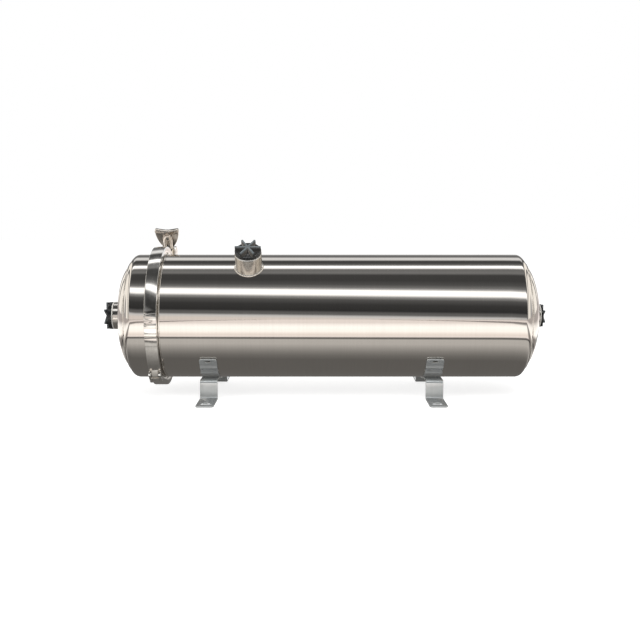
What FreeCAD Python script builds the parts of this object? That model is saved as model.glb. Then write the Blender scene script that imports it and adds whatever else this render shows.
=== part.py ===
import FreeCAD, Part
import Sketcher
import math
import os
import re

# Ultrafiltration water filter: a stainless housing on two folded brackets, with a cap held by a
# V-band clamp, three plugged ports and a hollow-fibre cartridge inside.
# X runs along the shell, cap end at -X. -Y is the front, Z is up.
# The origin is the centre of the four foot holes, on the surface that the filter stands on.

os.makedirs("parts", exist_ok=True)
doc = FreeCAD.newDocument("UltrafiltrationFilter")

driving_sizes = {
    # housing tube
    "shell_diameter": 159,
    "shell_wall": 1.5,
    "shell_clearance": 19.5,
    "clamp_plane": -207,
    "shell_length": 466,
    "shoulder_length": 14,
    "weld_inset": 9,
    # dished ends, each a crown arc that runs into a knuckle arc
    "rear_crown_radius": 150,
    "rear_knuckle_width": 14.3,
    "rear_knuckle_rise": 10.1,
    "cap_depth": 36,
    "cap_shoulder_length": 12,
    "cap_crown_radius": 260,
    "cap_knuckle_width": 20.9,
    "cap_knuckle_rise": 12,
    # clamp flanges and the gasket between them
    "flange_height": 5.5,
    "flange_rim_thickness": 3,
    "flange_hub_length": 7,
    "flange_back_angle": 20,
    "gasket_thickness": 2,
    "gasket_margin": 0.5,
    # V-band clamp
    "band_cover": 4.5,
    "band_width": 15,
    "band_crown": 2.5,
    "band_lip_depth": 7.3,
    "band_clearance": 0.15,
    "closure_angle": 145,
    "front_band_angle": 10,
    "rear_band_angle": 3,
    "hinge_angle": 195,
    "hinge_gap_angle": 6,
    "doubler_thickness": 1.2,
    "doubler_start_angle": 137,
    "doubler_sweep_angle": 26,
    "stamped_rib_height": 1.1,
    "stamped_rib_sweep_angle": 2.4,
    "stamped_rib_step_angle": 7,
    "stamped_rib_start_angle": 138.6,
    # swing bolt closure
    "bolt_line_height": 10.5,
    "bolt_radius": 4,
    "bolt_length": 62,
    "bolt_eye_radius": 7,
    "bolt_eye_width": 9,
    "bolt_slot_clearance": 0.6,
    "pivot_offset": 4,
    "pivot_pin_radius": 3,
    "pin_clearance": 0.15,
    "cheek_width": 19,
    "pivot_cheek_radius": 8,
    "nut_cheek_offset": 26,
    "nut_cheek_radius": 9,
    "nut_gap": 0.3,
    "nut_hub_radius": 8,
    "nut_hub_length": 14,
    "nut_length": 30,
    "nut_span": 32,
    "nut_wing_thickness": 4.5,
    "thread_clearance": 0.3,
    # clamp hinge
    "hinge_height": 1.5,
    "hinge_pin_offset": 5.5,
    "hinge_pin_radius": 1.8,
    "hinge_knuckle_radius": 3.6,
    "hinge_knuckle_width": 8,
    "hinge_link_thickness": 3,
    "hinge_link_overhang": 3.4,
    "hinge_link_height": 8,
    "hinge_bar_length": 2.6,
    "hinge_root_length": 2.4,
    # side port
    "side_port_x": -90.6,
    "side_port_tilt_angle": 33.5,
    "side_socket_diameter": 33.5,
    "side_socket_bore": 25,
    "side_socket_reach": 20.1,
    "side_plug_height": 11,
    "weld_bead": 1.7,
    # axial port of the cap
    "cap_socket_diameter": 36,
    "cap_socket_bore": 27,
    "cap_socket_reach": 9,
    "cap_plug_height": 11,
    # axial port of the rear end
    "rear_socket_diameter": 30,
    "rear_socket_bore": 21,
    "rear_socket_reach": 2,
    "rear_plug_height": 6.5,
    # all port sockets and plugs
    "socket_depth": 10,
    "fit_clearance": 0.15,
    "seal_thickness": 1.2,
    "seal_gap": 0.3,
    "plug_flange_margin": 0.3,
    "plug_flange_thickness": 2,
    "plug_shank_length": 9,
    "plug_shank_wall": 2.5,
    "plug_hub_radius": 3.2,
    "plug_rib_thickness": 2.4,
    "plug_low_rib_thickness": 1.6,
    "plug_low_rib_height": 1.5,
    "plug_shank_clearance": 0.5,
    # brackets
    "bracket_spacing": 282,
    "strip_width": 22,
    "strip_thickness": 2,
    "saddle_half_angle": 42,
    "tab_half_angle": 55,
    "tab_lift": 1.6,
    "saddle_bead_angle": 35.5,
    "saddle_bead_sweep_angle": 2.2,
    "saddle_bead_height": 2.6,
    "tab_slot_length": 8,
    "tab_slot_width": 4,
    "tab_slot_angle": 51,
    "leg_face": 60,
    "leg_top": 24.5,
    "leg_bend_radius": 4,
    "foot_length": 50,
    "foot_hole_diameter": 8,
    "foot_hole_distance": 33,
    "foot_corner_radius": 4,
    # hollow-fibre cartridge
    "cartridge_start": 14,
    "cartridge_end_gap": 25,
    "collar_length": 26,
    "collar_wall": 4,
    "collar_clearance": 0.6,
    "ring_radius": 1.8,
    "ring_squeeze_gap": 0.05,
    "potting_length": 22,
    "cage_clearance": 12,
    "cage_rib": 3,
    "cage_ring_width": 6,
    "cage_end_gap": 28,
    "strand_radius": 6,
    "strand_pitch": 13,
}

sheet = doc.addObject("Spreadsheet::Sheet", "Sizes")
for row, (alias, number) in enumerate(driving_sizes.items(), start=1):
    sheet.set("A%d" % row, alias)
    sheet.set("B%d" % row, str(number))
    sheet.setAlias("B%d" % row, alias)
doc.recompute()

sub_parts = []


def formula(text):
    """Every word with an underscore is a cell of the sheet."""
    return re.sub(r"[a-z]+(?:_[a-z]+)+", r"Sizes.\g<0>", str(text))


def worth(text):
    """The number that a formula gives now."""
    return float(sheet.evalExpression(formula(text)))


def bind(item, path, text):
    item.setExpression(path, formula(text))


def new_body(label):
    body = doc.addObject("PartDesign::Body", label)
    body.Label = label
    sub_parts.append(body)
    return body


def keep(item, label):
    item.Label = label
    sub_parts.append(item)
    return item


def place(item, x="0", turn=None, turn_axis=(1, 0, 0)):
    """Puts a sub-part on the shell axis, turned about one of the axes."""
    if turn is not None:
        axis = FreeCAD.Vector(*turn_axis)
        item.Placement = FreeCAD.Placement(FreeCAD.Vector(), FreeCAD.Rotation(axis, worth(turn)))
        bind(item, "Placement.Rotation.Angle", turn)
    bind(item, "Placement.Base.x", x)
    bind(item, "Placement.Base.z", "shell_clearance + shell_diameter / 2")


def sketch_on(body, name, role, turn=None, offset=("0", "0", "0")):
    """A sketch on one of the body's origin planes.

    A turn swings an XZ sketch about the shell axis and a YZ sketch within its own plane.
    """
    sketch = body.newObject("Sketcher::SketchObject", name)
    plane = next(part for part in body.Origin.OriginFeatures if part.Role == role)
    sketch.AttachmentSupport = [(plane, "")]
    sketch.MapMode = "FlatFace"
    if turn is not None:
        axis = FreeCAD.Vector(1, 0, 0) if role == "XZ_Plane" else FreeCAD.Vector(0, 0, 1)
        rotation = FreeCAD.Rotation(axis, worth(turn))
        sketch.AttachmentOffset = FreeCAD.Placement(FreeCAD.Vector(), rotation)
        bind(sketch, "AttachmentOffset.Rotation.Angle", turn)
    for letter, amount in zip("xyz", offset):
        if amount != "0":
            bind(sketch, "AttachmentOffset.Base.%s" % letter, amount)
    return sketch


def fix_point(sketch, index, position, x, y):
    """Ties one end of an edge, or a centre, to its two formulas."""
    for kind, text in (("DistanceX", x), ("DistanceY", y)):
        number = sketch.addConstraint(
            Sketcher.Constraint(kind, -1, 1, index, position, worth(text)))
        bind(sketch, "Constraints[%d]" % number, text)


def outline(sketch, corners):
    """Draws a closed outline.

    A corner is (x, y) before a straight edge. Before an arc it is (x, y, radius, side), where side
    says on which hand of the path the arc's centre lies.
    """
    spots = [FreeCAD.Vector(worth(corner[0]), worth(corner[1]), 0) for corner in corners]
    ends = []
    for index, corner in enumerate(corners):
        start = spots[index]
        finish = spots[(index + 1) % len(spots)]
        if len(corner) == 2:
            sketch.addGeometry(Part.LineSegment(start, finish), False)
            ends.append((1, 2))
            continue
        radius = worth(corner[2])
        chord = finish - start
        across = FreeCAD.Vector(-chord.y, chord.x, 0).normalize()
        reach = math.sqrt(max(radius ** 2 - (chord.Length / 2) ** 2, 0))
        left = corner[3] == "left"
        centre = (start + finish) * 0.5 + across * (reach if left else -reach)
        first, last = (start, finish) if left else (finish, start)
        angles = [math.atan2(spot.y - centre.y, spot.x - centre.x) for spot in (first, last)]
        circle = Part.Circle(centre, FreeCAD.Vector(0, 0, 1), radius)
        sketch.addGeometry(Part.ArcOfCircle(circle, angles[0], angles[1]), False)
        ends.append((1, 2) if left else (2, 1))
    for index, corner in enumerate(corners):
        following = (index + 1) % len(corners)
        sketch.addConstraint(Sketcher.Constraint(
            "Coincident", index, ends[index][1], following, ends[following][0]))
        fix_point(sketch, index, ends[index][0], corner[0], corner[1])
        if len(corner) == 4:
            number = sketch.addConstraint(
                Sketcher.Constraint("Radius", index, worth(corner[2])))
            bind(sketch, "Constraints[%d]" % number, corner[2])
    return sketch


def circles(sketch, rounds):
    """Draws full circles, each given as (x, y, radius)."""
    for x, y, radius in rounds:
        index = sketch.addGeometry(Part.Circle(
            FreeCAD.Vector(worth(x), worth(y), 0), FreeCAD.Vector(0, 0, 1), worth(radius)), False)
        fix_point(sketch, index, 3, x, y)
        number = sketch.addConstraint(Sketcher.Constraint("Radius", index, worth(radius)))
        bind(sketch, "Constraints[%d]" % number, radius)
    return sketch


def revolve(body, sketch, sweep="360", name="Turned"):
    feature = body.newObject("PartDesign::Revolution", name)
    feature.Profile = (sketch, [""])
    feature.ReferenceAxis = (sketch, ["H_Axis"])
    bind(feature, "Angle", sweep)
    return feature


def pad(body, sketch, length, midplane=False, reverse=False, name="Padded"):
    feature = body.newObject("PartDesign::Pad", name)
    feature.Profile = (sketch, [""])
    feature.Midplane = midplane
    feature.Reversed = reverse
    bind(feature, "Length", length)
    return feature


def pocket(body, sketch, length, midplane=True, reverse=False, name="Cut"):
    feature = body.newObject("PartDesign::Pocket", name)
    feature.Profile = (sketch, [""])
    feature.Midplane = midplane
    feature.Reversed = reverse
    bind(feature, "Length", length)
    return feature


def polar(body, features, sketch, copies, axis="N_Axis", name="Around"):
    pattern = body.newObject("PartDesign::PolarPattern", name)
    pattern.Originals = features
    pattern.Axis = (sketch, [axis])
    pattern.Angle = 360
    pattern.Occurrences = copies
    body.Tip = pattern
    return pattern


def hollow(body, open_spots, wall, name="Hollow"):
    """Takes the flat faces at the given places along X away and leaves a wall inside the rest."""
    doc.recompute()
    solid = body.Tip
    faces = []
    for number, face in enumerate(solid.Shape.Faces, start=1):
        flat = face.Surface.TypeId == "Part::GeomPlane" and abs(face.normalAt(0, 0).x) > 0.9
        if flat and any(abs(face.CenterOfMass.x - worth(spot)) < 0.01 for spot in open_spots):
            faces.append("Face%d" % number)
    feature = body.newObject("PartDesign::Thickness", name)
    feature.Base = (solid, faces)
    feature.Reversed = True
    feature.Join = 0
    bind(feature, "Value", wall)
    return feature


# housing

shell_radius = "(shell_diameter / 2)"
bore_radius = "(shell_diameter / 2 - shell_wall)"
flange_face = "(clamp_plane + gasket_thickness / 2)"
tube_start = "(clamp_plane + gasket_thickness / 2 + flange_hub_length)"
tube_end = "(clamp_plane + shell_length)"
axis_height = "(shell_clearance + shell_diameter / 2)"
weld_circle = "(shell_diameter / 2 - weld_inset)"
flange_radius = "(shell_diameter / 2 + flange_height)"
band_radius = "(shell_diameter / 2 + flange_height + band_cover)"
bolt_line = "(shell_diameter / 2 + flange_height + band_cover + bolt_line_height)"
hinge_line = "(shell_diameter / 2 + flange_height + band_cover + hinge_height)"
cap_face = "(clamp_plane - gasket_thickness / 2)"
cap_start = "(clamp_plane - gasket_thickness / 2 - flange_hub_length)"
cap_end = "(clamp_plane - cap_depth)"


def crown_angle(end):
    """Where an end's crown arc meets its knuckle arc, seen from the crown's centre."""
    return "asin((%s - %s_knuckle_width) / %s_crown_radius)" % (weld_circle, end, end)


def dish_rise(end):
    """An end's whole rise: the crown's, then the knuckle's."""
    return "(%s_crown_radius * (1 - cos(%s)) + %s_knuckle_rise)" % (end, crown_angle(end), end)


rear_apex = "(%s + %s)" % (tube_end, dish_rise("rear"))
cap_apex = "(%s - %s)" % (cap_end, dish_rise("cap"))


def shoulder_radius(length):
    """The arc that leaves the tube smoothly and ends on the weld circle."""
    return "((%s ^ 2 + weld_inset ^ 2) / (2 * weld_inset))" % length


def knuckle_radius(end):
    """The arc that leaves the crown smoothly and ends on the weld circle."""
    back = "%s_knuckle_rise" % end
    out = "%s_knuckle_width" % end
    chord = "(%s ^ 2 + %s ^ 2)" % (back, out)
    lean = "(%s * cos(%s) - %s * sin(%s))" % (back, crown_angle(end), out, crown_angle(end))
    return "(%s / (2 * %s))" % (chord, lean)


def dished_end(end, weld, apex, side):
    """A shallow dished end, butt welded on the weld circle, with the hole of its port.

    side is 1 for an end that bulges towards +X and -1 for the other.
    """
    label = end + "_dished_end"
    crown_radius = end + "_crown_radius"
    body = new_body(label)
    sketch = sketch_on(body, label + "_outline", "XZ_Plane")
    join_x = "(%s - %d * %s * (1 - cos(%s)))" % (apex, side, crown_radius, crown_angle(end))
    join_r = "(%s - %s_knuckle_width)" % (weld_circle, end)
    hand = "right" if side > 0 else "left"
    outline(sketch, [
        (weld, "0"),
        (weld, weld_circle, knuckle_radius(end), hand),
        (join_x, join_r, crown_radius, hand),
        (apex, "0"),
    ])
    revolve(body, sketch)
    hollow(body, [weld], "shell_wall")
    hole = sketch_on(body, label + "_hole", "YZ_Plane")
    circles(hole, [("0", "0", end + "_socket_diameter / 2 + fit_clearance")])
    pocket(body, hole, "2 * abs(%s) + 20" % apex)
    place(body)


def spun_tube(body, name, start, edge, side, length):
    """A tube of sheet whose far edge is spun in to the weld circle and cut square to the sheet."""
    radius = shoulder_radius(length)
    straight = "(%s - %d * %s)" % (edge, side, length)
    lip_x = "(%s - %d * shell_wall * %s / %s)" % (edge, side, length, radius)
    lip_r = "(%s - shell_wall * (%s - weld_inset) / %s)" % (weld_circle, radius, radius)
    outer_hand, inner_hand = ("right", "left") if side > 0 else ("left", "right")
    section = sketch_on(body, name, "XZ_Plane")
    outline(section, [
        (start, bore_radius),
        (start, shell_radius),
        (straight, shell_radius, radius, outer_hand),
        (edge, weld_circle),
        (lip_x, lip_r, "(%s - shell_wall)" % radius, inner_hand),
        (straight, bore_radius),
    ])
    revolve(body, section)


def build_shell_tube():
    """The main tube, its rear edge spun in to the weld circle, with the side port's hole."""
    body = new_body("shell_tube")
    spun_tube(body, "shell_section", tube_start, tube_end, 1, "shoulder_length")
    hole = sketch_on(body, "side_port_hole", "XY_Plane")
    circles(hole, [("side_port_x", "0", "side_socket_diameter / 2 + fit_clearance")])
    pocket(body, hole, "shell_diameter", midplane=False, reverse=True)
    place(body, turn="side_port_tilt_angle")


def build_cap_skirt():
    """The cap's short cylinder, its outer edge spun in to the weld circle."""
    body = new_body("cap_skirt")
    spun_tube(body, "cap_section", cap_start, cap_end, -1, "cap_shoulder_length")
    place(body)


def clamp_flange(label, face, side):
    """A flange ring with a tapered back that the clamp draws against the gasket."""
    body = new_body(label)
    sketch = sketch_on(body, label + "_section", "XZ_Plane")
    back = "(%s + %d * flange_rim_thickness)" % (face, side)
    root = "(%s + %d * flange_height * tan(flange_back_angle))" % (back, side)
    hub = "(%s + %d * flange_hub_length)" % (face, side)
    outline(sketch, [
        (face, bore_radius), (face, flange_radius), (back, flange_radius),
        (root, shell_radius), (hub, shell_radius), (hub, bore_radius),
    ])
    revolve(body, sketch)
    place(body)


def build_gasket():
    body = new_body("body_gasket")
    sketch = sketch_on(body, "gasket_section", "XZ_Plane")
    inner = bore_radius + " + gasket_margin"
    outer = flange_radius + " - gasket_margin"
    outline(sketch, [(cap_face, inner), (cap_face, outer), (flange_face, outer), (flange_face, inner)])
    revolve(body, sketch)
    place(body)


# ports

def port_socket(label, outside, bore, rim, bead_radius=None):
    """A plain socket along its own Z. A side socket gets a bead that sits on the round shell."""
    tube = doc.addObject("Part::Cylinder", label + "_outside")
    bind(tube, "Radius", outside + " / 2")
    bind(tube, "Height", "socket_depth + %s" % rim)
    bind(tube, "Placement.Base.z", "-socket_depth")
    if bead_radius:
        bind(tube, "Height", "socket_depth + %s - %s" % (rim, bead_radius))
        bind(tube, "Placement.Base.z", "%s - socket_depth" % bead_radius)
        bead = doc.addObject("Part::Cone", label + "_bead_blank")
        bind(bead, "Radius1", outside + " / 2 + 2 * weld_bead")
        bind(bead, "Radius2", outside + " / 2")
        bind(bead, "Height", "4 * weld_bead")
        bind(bead, "Placement.Base.z", "%s - 2 * weld_bead" % bead_radius)
        shell = doc.addObject("Part::Cylinder", label + "_shell_blank")
        bind(shell, "Radius", bead_radius)
        bind(shell, "Height", outside + " * 2")
        shell.Placement = FreeCAD.Placement(
            FreeCAD.Vector(), FreeCAD.Rotation(FreeCAD.Vector(0, 1, 0), 90))
        bind(shell, "Placement.Base.x", "-%s" % outside)
        seated = doc.addObject("Part::Cut", label + "_bead")
        seated.Base = bead
        seated.Tool = shell
        joined = doc.addObject("Part::Fuse", label + "_joined")
        joined.Base = tube
        joined.Tool = seated
        tube = joined
    hole = doc.addObject("Part::Cylinder", label + "_bore")
    bind(hole, "Radius", bore + " / 2")
    bind(hole, "Height", "2 * (socket_depth + %s)" % rim)
    bind(hole, "Placement.Base.z", "-socket_depth")
    socket = doc.addObject("Part::Cut", label)
    socket.Base = tube
    socket.Tool = hole
    return keep(socket, label)


def port_seal(label, outside, bore, rim):
    ring = doc.addObject("Part::Cylinder", label + "_disc")
    bind(ring, "Radius", outside + " / 2 - plug_flange_margin")
    bind(ring, "Height", "seal_thickness")
    bind(ring, "Placement.Base.z", rim)
    hole = doc.addObject("Part::Cylinder", label + "_hole")
    bind(hole, "Radius", bore + " / 2")
    bind(hole, "Height", "2 * seal_thickness")
    bind(hole, "Placement.Base.z", rim + " - seal_thickness / 2")
    seal = doc.addObject("Part::Cut", label)
    seal.Base = ring
    seal.Tool = hole
    return keep(seal, label)


def port_plug(label, outside, bore, rim, height, first_rib="0"):
    """A moulded plug along its own Z: a hollow shank, a flange and a star of six grip ribs."""
    body = new_body(label)
    flange = outside + " / 2 - plug_flange_margin"
    shank = bore + " / 2 - plug_shank_clearance"
    seat = rim + " + seal_thickness + seal_gap"
    top = seat + " + plug_flange_thickness"
    disc = sketch_on(body, label + "_flange", "XY_Plane", turn=first_rib, offset=("0", "0", seat))
    circles(disc, [("0", "0", flange)])
    pad(body, disc, "plug_flange_thickness")
    tube = sketch_on(body, label + "_shank", "XY_Plane", offset=("0", "0", seat))
    circles(tube, [("0", "0", shank), ("0", "0", shank + " - plug_shank_wall")])
    pad(body, tube, "plug_shank_length + seal_thickness", reverse=True)
    hub = sketch_on(body, label + "_hub", "XY_Plane", offset=("0", "0", top))
    circles(hub, [("0", "0", "plug_hub_radius")])
    pad(body, hub, "%s - seal_thickness - seal_gap - plug_flange_thickness" % height)
    reach = "(%s)" % flange
    tip = "(plug_rib_thickness / 2)"
    low_tip = "(plug_low_rib_thickness / 2)"
    waist = "(plug_rib_thickness / 3)"
    rib = sketch_on(body, label + "_rib", "XY_Plane", turn=first_rib, offset=("0", "0", top))
    edge = "sqrt(%s ^ 2 - %s ^ 2)" % (reach, tip)
    outline(rib, [
        ("0", waist), ("0", "-" + waist), (edge, "-" + tip, reach, "left"), (edge, tip),
    ])
    tall = pad(body, rib, "%s - seal_thickness - seal_gap - plug_flange_thickness" % height)
    low = sketch_on(body, label + "_low_rib", "XY_Plane", turn=first_rib + " + 30",
                    offset=("0", "0", top))
    inset = "(%s - plug_flange_margin)" % reach
    outline(low, [("0", low_tip), ("0", "-" + low_tip), (inset, "-" + low_tip), (inset, low_tip)])
    short = pad(body, low, "plug_low_rib_height")
    polar(body, [tall, short], disc, 6)
    return body


def build_ports():
    """Three plugged ports: one on the shell's upper front, one in each dished end."""
    side_rim = "(shell_diameter / 2 + side_socket_reach)"
    side = {"x": "side_port_x", "turn": "side_port_tilt_angle"}
    cap = {"x": cap_apex, "turn": "-90", "turn_axis": (0, 1, 0)}
    rear = {"x": rear_apex, "turn": "90", "turn_axis": (0, 1, 0)}
    plan = (
        ("side", side, side_rim, "side_plug_height", shell_radius, "60"),
        ("cap", cap, "cap_socket_reach", "cap_plug_height", None, "30"),
        ("rear", rear, "rear_socket_reach", "rear_plug_height", None, "0"),
    )
    for word, spot, rim, height, bead, first_rib in plan:
        outside = word + "_socket_diameter"
        bore = word + "_socket_bore"
        place(port_socket(word + "_port_socket", outside, bore, rim, bead), **spot)
        place(port_seal(word + "_plug_seal", outside, bore, rim), **spot)
        place(port_plug(word + "_port_plug", outside, bore, rim, height, first_rib), **spot)


# V-band clamp
# Its pieces share one local frame: Z points out through the closure, -Y is the way the bolt points.

closure_spot = {"x": "clamp_plane", "turn": "90 - closure_angle"}
rim_half = "(gasket_thickness / 2 + flange_rim_thickness)"
crown_inside = "(%s - band_crown)" % band_radius
lip_inside = "(%s - band_lip_depth)" % band_radius


def groove_half(radius):
    """Half the groove's width at a radius, parallel to the flange backs."""
    return "(%s + band_clearance + (%s - %s) * tan(flange_back_angle))" % (
        rim_half, flange_radius, radius)


def band(body, start, sweep):
    """The band's V section, swung about the shell axis."""
    sketch = sketch_on(body, body.Label + "_section", "XZ_Plane", turn=start)
    half = "band_width / 2"
    outline(sketch, [
        ("-" + half, lip_inside), ("-" + half, band_radius),
        (half, band_radius), (half, lip_inside),
        (groove_half(lip_inside), lip_inside), (groove_half(crown_inside), crown_inside),
        ("-" + groove_half(crown_inside), crown_inside), ("-" + groove_half(lip_inside), lip_inside),
    ])
    return revolve(body, sketch, sweep, body.Label + "_band")


def raised_strip(body, start, sweep, inner, outer, width, name):
    """A flat raised strip along the outside of the band."""
    sketch = sketch_on(body, name + "_section", "XZ_Plane", turn=start)
    half = "(%s / 2)" % width
    outline(sketch, [("-" + half, inner), ("-" + half, outer), (half, outer), (half, inner)])
    return revolve(body, sketch, sweep, name)


def round_cheek(body, name, offset, radius, width):
    """A lug with a round head on the bolt line, seated in the crown of the band."""
    near = "(%s - %s)" % (offset, radius)
    far = "(%s + %s)" % (offset, radius)
    seat = "(%s - band_crown / 2)" % band_radius
    sketch = sketch_on(body, name, "YZ_Plane")
    outline(sketch, [
        ("-" + near, "sqrt(%s ^ 2 - %s ^ 2)" % (seat, near)),
        ("-" + near, bolt_line, radius, "left"),
        ("-" + offset, bolt_line + " + " + radius, radius, "left"),
        ("-" + far, bolt_line),
        ("-" + far, "sqrt(%s ^ 2 - %s ^ 2)" % (seat, far), seat, "right"),
    ])
    return pad(body, sketch, width, midplane=True, name=name + "_pad")


def bolt_slot(body, name, offset, radius, width):
    """The gap between two cheeks, open outwards for the bolt."""
    near = "(%s - %s - 1)" % (offset, radius)
    far = "(%s + %s + 1)" % (offset, radius)
    floor = "(%s - bolt_eye_radius - bolt_slot_clearance)" % bolt_line
    head = "(%s + %s + 1)" % (bolt_line, radius)
    sketch = sketch_on(body, name, "YZ_Plane")
    outline(sketch, [("-" + near, floor), ("-" + near, head), ("-" + far, head), ("-" + far, floor)])
    return pocket(body, sketch, width, name=name + "_cut")


def hinge_knuckle(body, name, side):
    """The eye at a band's end, narrower than the band, with its pin hole."""
    eye = sketch_on(body, name, "YZ_Plane", turn="hinge_angle")
    centre = "(%d * hinge_pin_offset)" % side
    root = "(%d * (hinge_pin_offset + hinge_knuckle_radius + hinge_root_length))" % side
    top = hinge_line + " + hinge_knuckle_radius"
    outline(eye, [
        (root, crown_inside),
        (centre, hinge_line + " - hinge_knuckle_radius", "hinge_knuckle_radius",
         "right" if side > 0 else "left"),
        ("%s - %d * hinge_knuckle_radius" % (centre, side), hinge_line,
         "hinge_knuckle_radius", "right" if side > 0 else "left"),
        (centre, top),
        (root, band_radius),
    ])
    pad(body, eye, "hinge_knuckle_width", midplane=True, name=name + "_pad")
    hole = sketch_on(body, name + "_hole", "YZ_Plane", turn="hinge_angle")
    circles(hole, [(centre, hinge_line, "hinge_pin_radius + pin_clearance")])
    pocket(body, hole, "2 * band_width", name=name + "_cut")


def build_front_band():
    """The half over the front: stamped doubler, hinge eye and the cheeks that the nut bears on."""
    body = new_body("clamp_half_front")
    band(body, "front_band_angle", "hinge_angle - hinge_gap_angle - front_band_angle")
    crown = "(%s - band_crown / 2)" % band_radius
    doubler_top = "(%s + doubler_thickness)" % band_radius
    raised_strip(body, "doubler_start_angle", "doubler_sweep_angle", crown, doubler_top,
                 "band_width", "doubler")
    for number in range(3):
        start = "stamped_rib_start_angle + %d * stamped_rib_step_angle" % number
        raised_strip(body, start, "stamped_rib_sweep_angle", crown, doubler_top + " + stamped_rib_height",
                     "band_width", "stamped_rib_%d" % (number + 1))
    round_cheek(body, "nut_cheek", "nut_cheek_offset", "nut_cheek_radius", "cheek_width")
    bolt_slot(body, "nut_slot", "nut_cheek_offset", "nut_cheek_radius",
              "2 * (bolt_radius + bolt_slot_clearance)")
    hinge_knuckle(body, "front_knuckle", 1)
    place(body, **closure_spot)


def build_rear_band():
    """The half round the back: hinge eye and the cheeks that hold the bolt's pivot pin."""
    body = new_body("clamp_half_rear")
    start = "hinge_angle + hinge_gap_angle"
    band(body, start, "360 + rear_band_angle - hinge_angle - hinge_gap_angle")
    round_cheek(body, "pivot_cheek", "(-pivot_offset)", "pivot_cheek_radius", "cheek_width")
    bolt_slot(body, "pivot_slot", "(-pivot_offset)", "pivot_cheek_radius",
              "bolt_eye_width + 2 * bolt_slot_clearance")
    hole = sketch_on(body, "pivot_hole", "YZ_Plane")
    circles(hole, [("pivot_offset", bolt_line, "pivot_pin_radius + pin_clearance")])
    pocket(body, hole, "2 * cheek_width", name="pivot_hole_cut")
    hinge_knuckle(body, "rear_knuckle", -1)
    place(body, **closure_spot)


def round_pin(label, y, z, radius, length, turn=None):
    body = new_body(label)
    sketch = sketch_on(body, label + "_section", "YZ_Plane", turn=turn)
    circles(sketch, [(y, z, radius)])
    pad(body, sketch, length, midplane=True)
    place(body, **closure_spot)


def build_hinge_link():
    """Two side plates joined by a middle bar, which carry one pin for each half."""
    body = new_body("clamp_hinge_link")
    length = "(hinge_pin_offset + hinge_link_overhang)"
    low = "(%s - hinge_link_height / 2)" % hinge_line
    high = "(%s + hinge_link_height / 2)" % hinge_line
    inside = "(hinge_knuckle_width / 2 + bolt_slot_clearance)"
    bar = sketch_on(body, "link_bar", "YZ_Plane", turn="hinge_angle")
    bar_half = "(hinge_bar_length / 2)"
    outline(bar, [
        ("-" + bar_half, hinge_line), (bar_half, hinge_line), (bar_half, high),
        ("-" + bar_half, high),
    ])
    pad(body, bar, "2 * %s + 2 * hinge_link_thickness" % inside, midplane=True, name="link_bar_pad")
    for number, sign in ((1, ""), (2, "-")):
        offset = "%s%s" % (sign, inside)
        plate = sketch_on(body, "link_plate_%d" % number, "YZ_Plane", turn="hinge_angle",
                          offset=("0", "0", offset))
        outline(plate, [("-" + length, low), (length, low), (length, high), ("-" + length, high)])
        pad(body, plate, "hinge_link_thickness", reverse=sign == "-", name="link_plate_pad_%d" % number)
    holes = sketch_on(body, "link_holes", "YZ_Plane", turn="hinge_angle")
    circles(holes, [
        ("hinge_pin_offset", hinge_line, "hinge_pin_radius + pin_clearance"),
        ("-hinge_pin_offset", hinge_line, "hinge_pin_radius + pin_clearance"),
    ])
    pocket(body, holes, "2 * band_width", name="link_holes_cut")
    place(body, **closure_spot)


def build_clamp_pins():
    full_width = "hinge_knuckle_width + 2 * bolt_slot_clearance + 2 * hinge_link_thickness"
    round_pin("clamp_hinge_pin_front", "hinge_pin_offset", hinge_line, "hinge_pin_radius",
              full_width, turn="hinge_angle")
    round_pin("clamp_hinge_pin_rear", "-hinge_pin_offset", hinge_line, "hinge_pin_radius",
              full_width, turn="hinge_angle")
    round_pin("bolt_pivot_pin", "pivot_offset", bolt_line, "pivot_pin_radius", "cheek_width")


def build_swing_bolt():
    """An eye bolt that swings on its pin, out of the open slot of the other cheeks."""
    body = new_body("swing_bolt")
    eye = sketch_on(body, "bolt_eye", "YZ_Plane")
    circles(eye, [("pivot_offset", bolt_line, "bolt_eye_radius")])
    pad(body, eye, "bolt_eye_width", midplane=True)
    shank = sketch_on(body, "bolt_shank", "XZ_Plane")
    circles(shank, [("0", bolt_line, "bolt_radius")])
    pad(body, shank, "bolt_length - pivot_offset")
    hole = sketch_on(body, "bolt_eye_hole", "YZ_Plane")
    circles(hole, [("pivot_offset", bolt_line, "pivot_pin_radius + 2 * pin_clearance")])
    pocket(body, hole, "2 * bolt_eye_width")
    place(body, **closure_spot)


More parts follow.
